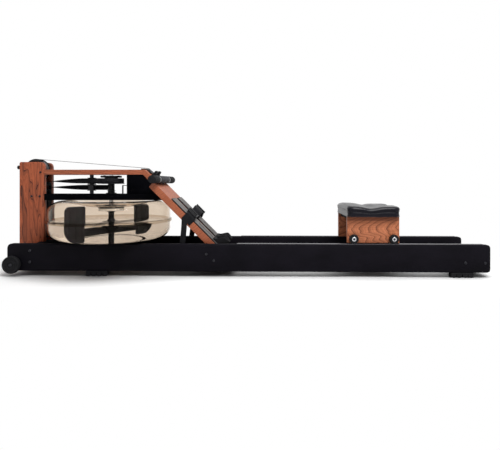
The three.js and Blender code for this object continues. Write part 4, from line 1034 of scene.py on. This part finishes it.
def make_transport_wheels():
    tyre = [(0, 0), (9, 0), (9, 4), (31, 4), (32.5, 5.4), (35, 4.6), (37.2, 6.4), (38, 9), (38, 21),
            (37.2, 23.6), (35, 25.4), (32.5, 24.6), (31, 23), (21, 23), (20, 25.6), (13, 26), (12, 23.4),
            (0, 23.4)]
    cap = [(0, 23.4), (7, 23.4), (7, 24.6), (5.6, 25.6), (0, 25.6)]
    for side, way in SIDES:
        body = f"transport_wheel_{side}"
        centre = (TRANSPORT_X, way * TRANSPORT_SIDE, TRANSPORT_HEIGHT)
        wheel = turned(tyre, centre, "Y", 96, way)
        for x, z in circle_spots(*TYRE_STUDS):
            spot = (TRANSPORT_X + x, way * (TRANSPORT_SIDE + STUD_FACE), TRANSPORT_HEIGHT + z)
            add_to(wheel, turned([(0, 0), (3, 0), (2.4, 0.8), (0, 0.8)], spot, "Y", 20, way))
        place_mesh(f"transport_tyre_{side}", wheel, "black_rubber", body, [body])
        place_mesh(f"transport_cap_{side}", turned(cap, centre, "Y", 40, way), "dark_steel", body)


def make_seat_wheels():
    tyre = [(0, 0), (6, 0), (6, 3), (17.6, 3), (19.4, 3.8), (20, 5.2), (20, 17.8), (19.4, 19.2), (17.6, 20),
            (13, 20), (12, 19), (0, 19)]
    washer = [(0, 18.9), (9, 18.9), (9, 19.6), (8.4, 20), (5.2, 20), (5.2, 19), (0, 19)]
    for end, x in SEAT_WHEELS:
        for side, way in SIDES:
            body = f"seat_wheel_{end}_{side}"
            centre = (x, way * SEAT_WHEEL_SIDE, SEAT_WHEEL_HEIGHT)
            place_mesh(f"{body}_tyre", turned(tyre, centre, "Y", 80, way), "black_plastic", body, [body])
            place_mesh(f"{body}_washer", turned(washer, centre, "Y", 56, way), "bolt_steel", body)
            place_mesh(f"{body}_hub", turned(rod(4.4, 19, 19.5), centre, "Y", 40, way), "dark_steel", body)


# Seat cushion: a crowned pad with two hollows, a cross dip and a notch at the tail
CUSHION_MIDDLE = Vector((554, 0, 259.3))
CUSHION_LONG, CUSHION_WIDE, CUSHION_CORNER = 114.0, 159.0, 26
CUSHION_THICK, CROWN_RISE, EDGE_FALL = 44, 11, 13
DIP_DEPTH, DIP_X, DIP_SPREAD = 9, -12, 36
HOLLOW_DEPTH, HOLLOW_X, HOLLOW_Y, HOLLOW_SPREAD = 7, 12, 66, 48
NOTCH_DEPTH, NOTCH_X, NOTCH_WIDTH, NOTCH_EASE = 12, 48, 34, 16
SEAM = 0.62
SIDE_LEVELS = (0.9, 0.8, 0.72, 0.66, 0.63, SEAM, 0.61, 0.58, 0.5, 0.4, 0.28, 0.16, 0.06)
SIDE_DRAW = 2.2
STITCH_LEVEL = 0.7


def bell(value, spread):
    return math.exp(-((value / spread) ** 2))


def cushion_crown(x, y):
    """Height of the cushion's top over its base."""
    dip = DIP_DEPTH * bell(x - DIP_X, DIP_SPREAD)
    hollow = HOLLOW_DEPTH * bell(abs(y) - HOLLOW_Y, HOLLOW_SPREAD) * bell(x - HOLLOW_X, HOLLOW_SPREAD)
    tail = 1 / (1 + math.exp((NOTCH_X - x) / NOTCH_EASE))
    rise = CROWN_RISE * (1 - (y / CUSHION_WIDE) ** 2) * (1 - 0.7 * tail)
    return CUSHION_THICK + rise - dip - hollow - NOTCH_DEPTH * bell(y, NOTCH_WIDTH) * tail


def cushion_rim(count):
    """Points round the cushion's outline, evenly spaced."""
    outline = oblong(-CUSHION_LONG, CUSHION_LONG, -CUSHION_WIDE, CUSHION_WIDE, CUSHION_CORNER, steps=24)
    points = [Vector(p) for p in outline]
    steps = [(b - a).length for a, b in zip(points, points[1:] + points[:1])]
    total, rim, edge, run = sum(steps), [], 0, 0.0
    for k in range(count):
        want = total * k / count
        while run + steps[edge] < want:
            run += steps[edge]
            edge += 1
        share = (want - run) / steps[edge]
        rim.append(points[edge].lerp(points[(edge + 1) % len(points)], share))
    return rim


def pucker(x, y, level):
    """Small unevenness of the cover: broad ripples, and short folds that run in from the edge."""
    broad = noise.noise(Vector((x / 34, y / 34, level / 20))) * 0.5
    folds = noise.noise(Vector((x / 9, y / 9, level / 60))) * 0.15
    return broad + folds


def drawn_in(point, inset):
    return point.x * (1 - inset / CUSHION_LONG), point.y * (1 - inset / CUSHION_WIDE)


def cushion_levels():
    """Rings from the middle outwards and down: inset, fall, share of the height left, unevenness."""
    for k in range(1, 20):
        yield CUSHION_LONG * (1 - 0.88 * k / 19), 0, 1, 1
    for k in range(1, 13):
        angle = math.pi / 2 * k / 12
        yield 13.6 * (1 - math.sin(angle)), EDGE_FALL * (1 - math.cos(angle)), 1, 1
    for share in SIDE_LEVELS:
        yield SIDE_DRAW * math.sin(math.pi * (1 - share)) + bell(share - SEAM, 0.02), EDGE_FALL, share, 0
    yield 3.5, EDGE_FALL, 0, 0


def cushion_point(point, inset, fall, share, uneven):
    x, y = drawn_in(point, inset)
    z = (cushion_crown(x, y) - fall) * share
    lift = pucker(x, y, z) * uneven
    return (CUSHION_MIDDLE + Vector((x, y, max(0.0, z + lift * min(1, z / 20))))) * MM


def make_cushion():
    count = 220
    rim = cushion_rim(count)
    bm = bmesh.new()
    rings = [[bm.verts.new(cushion_point(point, *level)) for point in rim] for level in cushion_levels()]
    middle = bm.verts.new((CUSHION_MIDDLE + UP * cushion_crown(0, 0)) * MM)
    under = bm.verts.new(CUSHION_MIDDLE * MM)
    for k in range(count):
        after = (k + 1) % count
        bm.faces.new((middle, rings[0][k], rings[0][after]))
        bm.faces.new((under, rings[-1][after], rings[-1][k]))
        for inner, outer in zip(rings, rings[1:]):
            bm.faces.new((inner[k], outer[k], outer[after], inner[after]))
    cushion = place_mesh("seat_pad", bm, "leather", "seat", ["seat_cushion"], sharp=math.radians(60))


def make_cushion_seam():
    """A row of short stitches above the side seam."""
    stitches = bmesh.new()
    count = 300
    rim = cushion_rim(count)
    draw = SIDE_DRAW * math.sin(math.pi * (1 - STITCH_LEVEL)) - 0.25
    for k in range(0, count, 2):
        ends = []
        for point in (rim[k], rim[(k + 1) % count]):
            x, y = drawn_in(point, draw)
            ends.append(CUSHION_MIDDLE + Vector((x, y, (cushion_crown(x, y) - EDGE_FALL) * STITCH_LEVEL)))
        along = (ends[1] - ends[0]).normalized()
        outward = Vector((along.y, -along.x, 0))
        thread = [(ends[0], UP, outward), (ends[0].lerp(ends[1], 0.5) + outward * 0.25, UP, outward),
                  (ends[1], UP, outward)]
        add_to(stitches, band(thread, 0.8, 0.8))
    place_mesh("seat_stitching", stitches, "stitch", "seat")


# Foot straps: an arch over each foot pad with a loose tail hanging by the plank's edge
STRAP_DOWN = 308
STRAP_LEAN = 10
STRAP_RISES = {"left": 17, "right": 27}
ARCH_OUTER, ARCH_INNER, ARCH_FOOT = 110.8, 2.7, 8.1
ARCH_MIDDLE, ARCH_REACH = (ARCH_OUTER + ARCH_INNER) / 2, (ARCH_OUTER - ARCH_INNER) / 2
ARCH_WIDTH, ARCH_THICKNESS = 50, 2.6
COVER_WIDTH, COVER_THICKNESS, COVER_LIFT = 38, 1.2, 1.9
TAIL_WIDTH, TAIL_DROP = 25, 120
TAIL_ROOT = (STRAP_DOWN - 18, -11.5)
BUCKLE_LIFT = 4.4
BUCKLE_ANGLE = math.radians(52)
BUCKLE_BARS = (((-28, -16, -2), (-23.5, 16, 2.5)), ((23.5, -16, -2), (28, 16, 2.5)),
               ((-28, -16, -2), (28, -11.5, 2.5)), ((-28, 11.5, -2), (28, 16, 2.5)),
               ((-25, -2.2, -1.6), (25, 2.2, 2)))


def arch_point(way, rise, angle, sag=0.0):
    """A place on a strap's arch, and the direction out of it."""
    sine, cosine = math.sin(angle), math.cos(angle)
    across = way * (ARCH_MIDDLE + ARCH_REACH * cosine)
    place = Vector((STRAP_DOWN - STRAP_LEAN * sine, across, ARCH_FOOT + (rise + sag) * sine))
    return place, Vector((0, way * cosine / ARCH_REACH, sine / rise)).normalized()


def arch_stations(way, rise):
    stations = [(Vector((STRAP_DOWN, way * ARCH_OUTER, off)), ALONG, ACROSS * way) for off in (-23, -14, -5)]
    for i in range(61):
        angle = math.pi * i / 60
        place, out = arch_point(way, rise, angle, 1.2 * math.sin(3 * angle) * math.sin(angle))
        stations.append((place, ALONG, out))
    stations.append((Vector((STRAP_DOWN, way * ARCH_INNER, 0.3)), ALONG, ACROSS * -way))
    return stations


def tail_stations(way):
    """The loose tail: it hangs straight down with a slight swing."""
    root = on_slope(*TAIL_ROOT)
    stations = []
    for i in range(29):
        t = i / 28
        swing = 2 * math.sin(3 * t) - 11 * t
        across = way * (ARCH_OUTER + 1.5 * math.sin(5 * t) * t)
        place = Vector((root.x + swing, across, root.z - TAIL_DROP * t))
        stations.append((place, ALONG, ACROSS * way))
    return stations


def buckle(way, rise):
    """A ladder buckle at the outer foot of the arch, lying against the strap."""
    place, out = arch_point(way, rise, BUCKLE_ANGLE)
    turn = Matrix((ALONG, ALONG.cross(out), out)).transposed().to_4x4()
    turn.translation = (place + out * BUCKLE_LIFT) * MM
    return moved(add_to(bmesh.new(), *[box(low, high, 1.4) for low, high in BUCKLE_BARS]), turn)


def make_foot_straps():
    for side, way in SIDES:
        stations = arch_stations(way, STRAP_RISES[side])
        cover = [(place + out * COVER_LIFT, across, out) for place, across, out in stations[17:50]]
        arch = add_to(band(stations, ARCH_WIDTH, ARCH_THICKNESS), band(cover, COVER_WIDTH, COVER_THICKNESS))
        place_mesh(f"toe_strap_{side}", arch, "webbing", replaced=[f"foot_strap_{side}"], sharp=STRAP_SHARP,
                   matrix=SLOPE)
        tail = tail_stations(way)
        fold = [(place + ACROSS * way * 2.5, across, out) for place, across, out in tail[22:]]
        ends = add_to(band(tail, TAIL_WIDTH, 2.4), band(fold, TAIL_WIDTH, 2.0))
        place_mesh(f"toe_strap_tail_{side}", ends, "webbing", sharp=STRAP_SHARP)
        place_mesh(f"strap_buckle_{side}", buckle(way, STRAP_RISES[side]), "satin_plastic", matrix=SLOPE)


# Heel rests: a ridged U-shaped cup on a plate, rising towards the heel
CUP_START, CUP_BEND, CUP_RUN, CUP_SIDE = 446.0, 470.0, 39.5, 54
CUP_FOOT, CUP_PLATE, CUP_LOW, CUP_RISE = 6.6, 4, 12, 36


def cup_height(down):
    share = min(max((down - 448) / 34, 0), 1)
    return CUP_LOW + CUP_RISE * share * share * (3 - 2 * share)


def cup_spine():
    """The middle of the cup's wall, seen along the slope's normal."""
    spine = [Vector((CUP_START + (CUP_BEND - CUP_START) * k / 6, -CUP_RUN)) for k in range(7)]
    for k in range(1, 48):
        angle = math.pi * (k / 48 - 0.5)
        spine.append(Vector((CUP_BEND, 0)) + Vector((math.cos(angle), math.sin(angle))) * CUP_RUN)
    return spine + [Vector((p.x, -p.y)) for p in reversed(spine[:7])]


def spine_normal(spine, i):
    along = (spine[min(i + 1, len(spine) - 1)] - spine[max(i - 1, 0)]).normalized()
    return Vector((along.y, -along.x))


def cup_wall(spine, middle):
    bm = bmesh.new()
    rows = []
    for i, point in enumerate(spine):
        normal, top = spine_normal(spine, i), cup_height(point.x)
        section = ((2.5, CUP_FOOT), (2.5, top - 2), (1.7, top - 0.5), (0, top), (-1.7, top - 0.5),
                   (-2.5, top - 2), (-2.5, CUP_FOOT))
        spots = [(point + normal * out, z) for out, z in section]
        rows.append([bm.verts.new(Vector((q.x, q.y + middle, z)) * MM) for q, z in spots])
    for first, second in zip(rows, rows[1:]):
        for k in range(7):
            after = (k + 1) % 7
            bm.faces.new((first[k], first[after], second[after], second[k]))
    bm.faces.new(rows[0])
    bm.faces.new(list(reversed(rows[-1])))
    return bm


def make_heel_rests():
    spine = cup_spine()
    for side, way in SIDES:
        middle = way * CUP_SIDE
        bm = cup_wall(spine, middle)
        add_to(bm, plate([(p.x, p.y + middle) for p in spine], CUP_FOOT, CUP_FOOT + CUP_PLATE, 0.8))
        for i in range(3, len(spine) - 3, 3):
            spot, top = spine[i] + spine_normal(spine, i) * 2.3, cup_height(spine[i].x)
            ridge = [(0, CUP_FOOT + 3), (1.5, CUP_FOOT + 3), (1.5, top - 5), (0.8, top - 3.8), (0, top - 3.8)]
            add_to(bm, turned(ridge, (spot.x, spot.y + middle, 0), segments=12))
        body = f"heel_rest_{side}"
        place_mesh(f"heel_cup_{side}", bm, "black_rubber", body, [body], matrix=SLOPE)


# Foot pads: a black base, a grey tread on it with a long slot, and cross ribs
PAD_INNER, PAD_OUTER, PAD_START, PAD_END = 17, 103.5, 190, 478


def make_foot_pads():
    for side, way in SIDES:
        low, high = sorted((way * PAD_INNER, way * PAD_OUTER))
        centre = (low + high) / 2
        base = plate(oblong(PAD_START, PAD_END, low, high, 6), 0.3, 5, 0.6)
        tread = plate(oblong(PAD_START + 2, PAD_END - 2, low + 2, high - 2, 4), 4.9, 6, 0.4)
        slot = plate(oblong(352, 444, centre - 4.5, centre + 4.5, 4), 5.4, 6.25, 0.2)
        ribs = [plate(oblong(down, down + 3, low + 9, high - 9), 5.6, 6.4, 0.35)
                for down in range(204, 262, 8)]
        place_mesh(f"tread_base_{side}", base, "black_rubber", replaced=[f"foot_pad_{side}"], matrix=SLOPE)
        place_mesh(f"tread_pad_{side}", tread, "grey_pad", matrix=SLOPE)
        place_mesh(f"tread_slot_{side}", slot, "black_rubber", matrix=SLOPE)
        place_mesh(f"tread_ribs_{side}", add_to(*ribs), "grey_pad", matrix=SLOPE)


# Sloping board: a narrow neck mitred to the top plank, then the wide board with rounded shoulders
NECK_END, NECK_HALF, NECK_THICKNESS = 86, 46, 23
BOARD_START, BOARD_END, BOARD_HALF, BOARD_THICKNESS, SHOULDER = 78, 592, 109, 30, 20
MITRE_GAP = 0.3


def make_sloping_board():
    neck = plate(oblong(0, NECK_END, -NECK_HALF, NECK_HALF), -NECK_THICKNESS, 0, 0.9)
    for v in neck.verts:
        if v.co.x < 2 * MM:
            v.co.x += MITRE_GAP * MM - v.co.z * HALF_SLOPE
    wide = oblong(BOARD_START, BOARD_END, -BOARD_HALF, BOARD_HALF, SHOULDER, 0, 10)
    board = add_to(plate(wide, -BOARD_THICKNESS, 0, 1.2), neck)
    place_mesh("sloping_board", board, "plank_oak", replaced=["foot_plank"], matrix=SLOPE)


def soften_cad():
    """Rounds the edges of the CAD nodes that still show."""
    for obj in nodes.values():
        if obj.hide_render:
            continue
        weld = obj.modifiers.new("weld", "WELD")
        weld.merge_threshold = 0.02 * MM
        bevel = obj.modifiers.new("bevel", "BEVEL")
        bevel.width = 0.9 * MM
        bevel.segments = 2
        bevel.limit_method = "ANGLE"
        bevel.angle_limit = math.radians(38)
        bevel.harden_normals = True
        obj.data.polygons.foreach_set("use_smooth", [True] * len(obj.data.polygons))


def make_pieces():
    make_tank()
    make_seal()
    make_paddle()
    make_drum()
    make_winding()
    make_shaft()
    make_idlers()
    make_pulleys()
    make_straps()
    make_free_strap()
    make_handle()
    make_rest_and_guide()
    make_screw_heads()
    make_bolts()
    make_feet()
    make_transport_wheels()
    make_seat_wheels()
    make_cushion()
    make_cushion_seam()
    make_foot_straps()
    make_heel_rests()
    make_foot_pads()
    make_sloping_board()
    soften_cad()


make_camera()
make_lights()
make_world()
make_floor()
paint_cad()
make_pieces()

view = bpy.context.scene.view_settings
view.view_transform = "Standard"
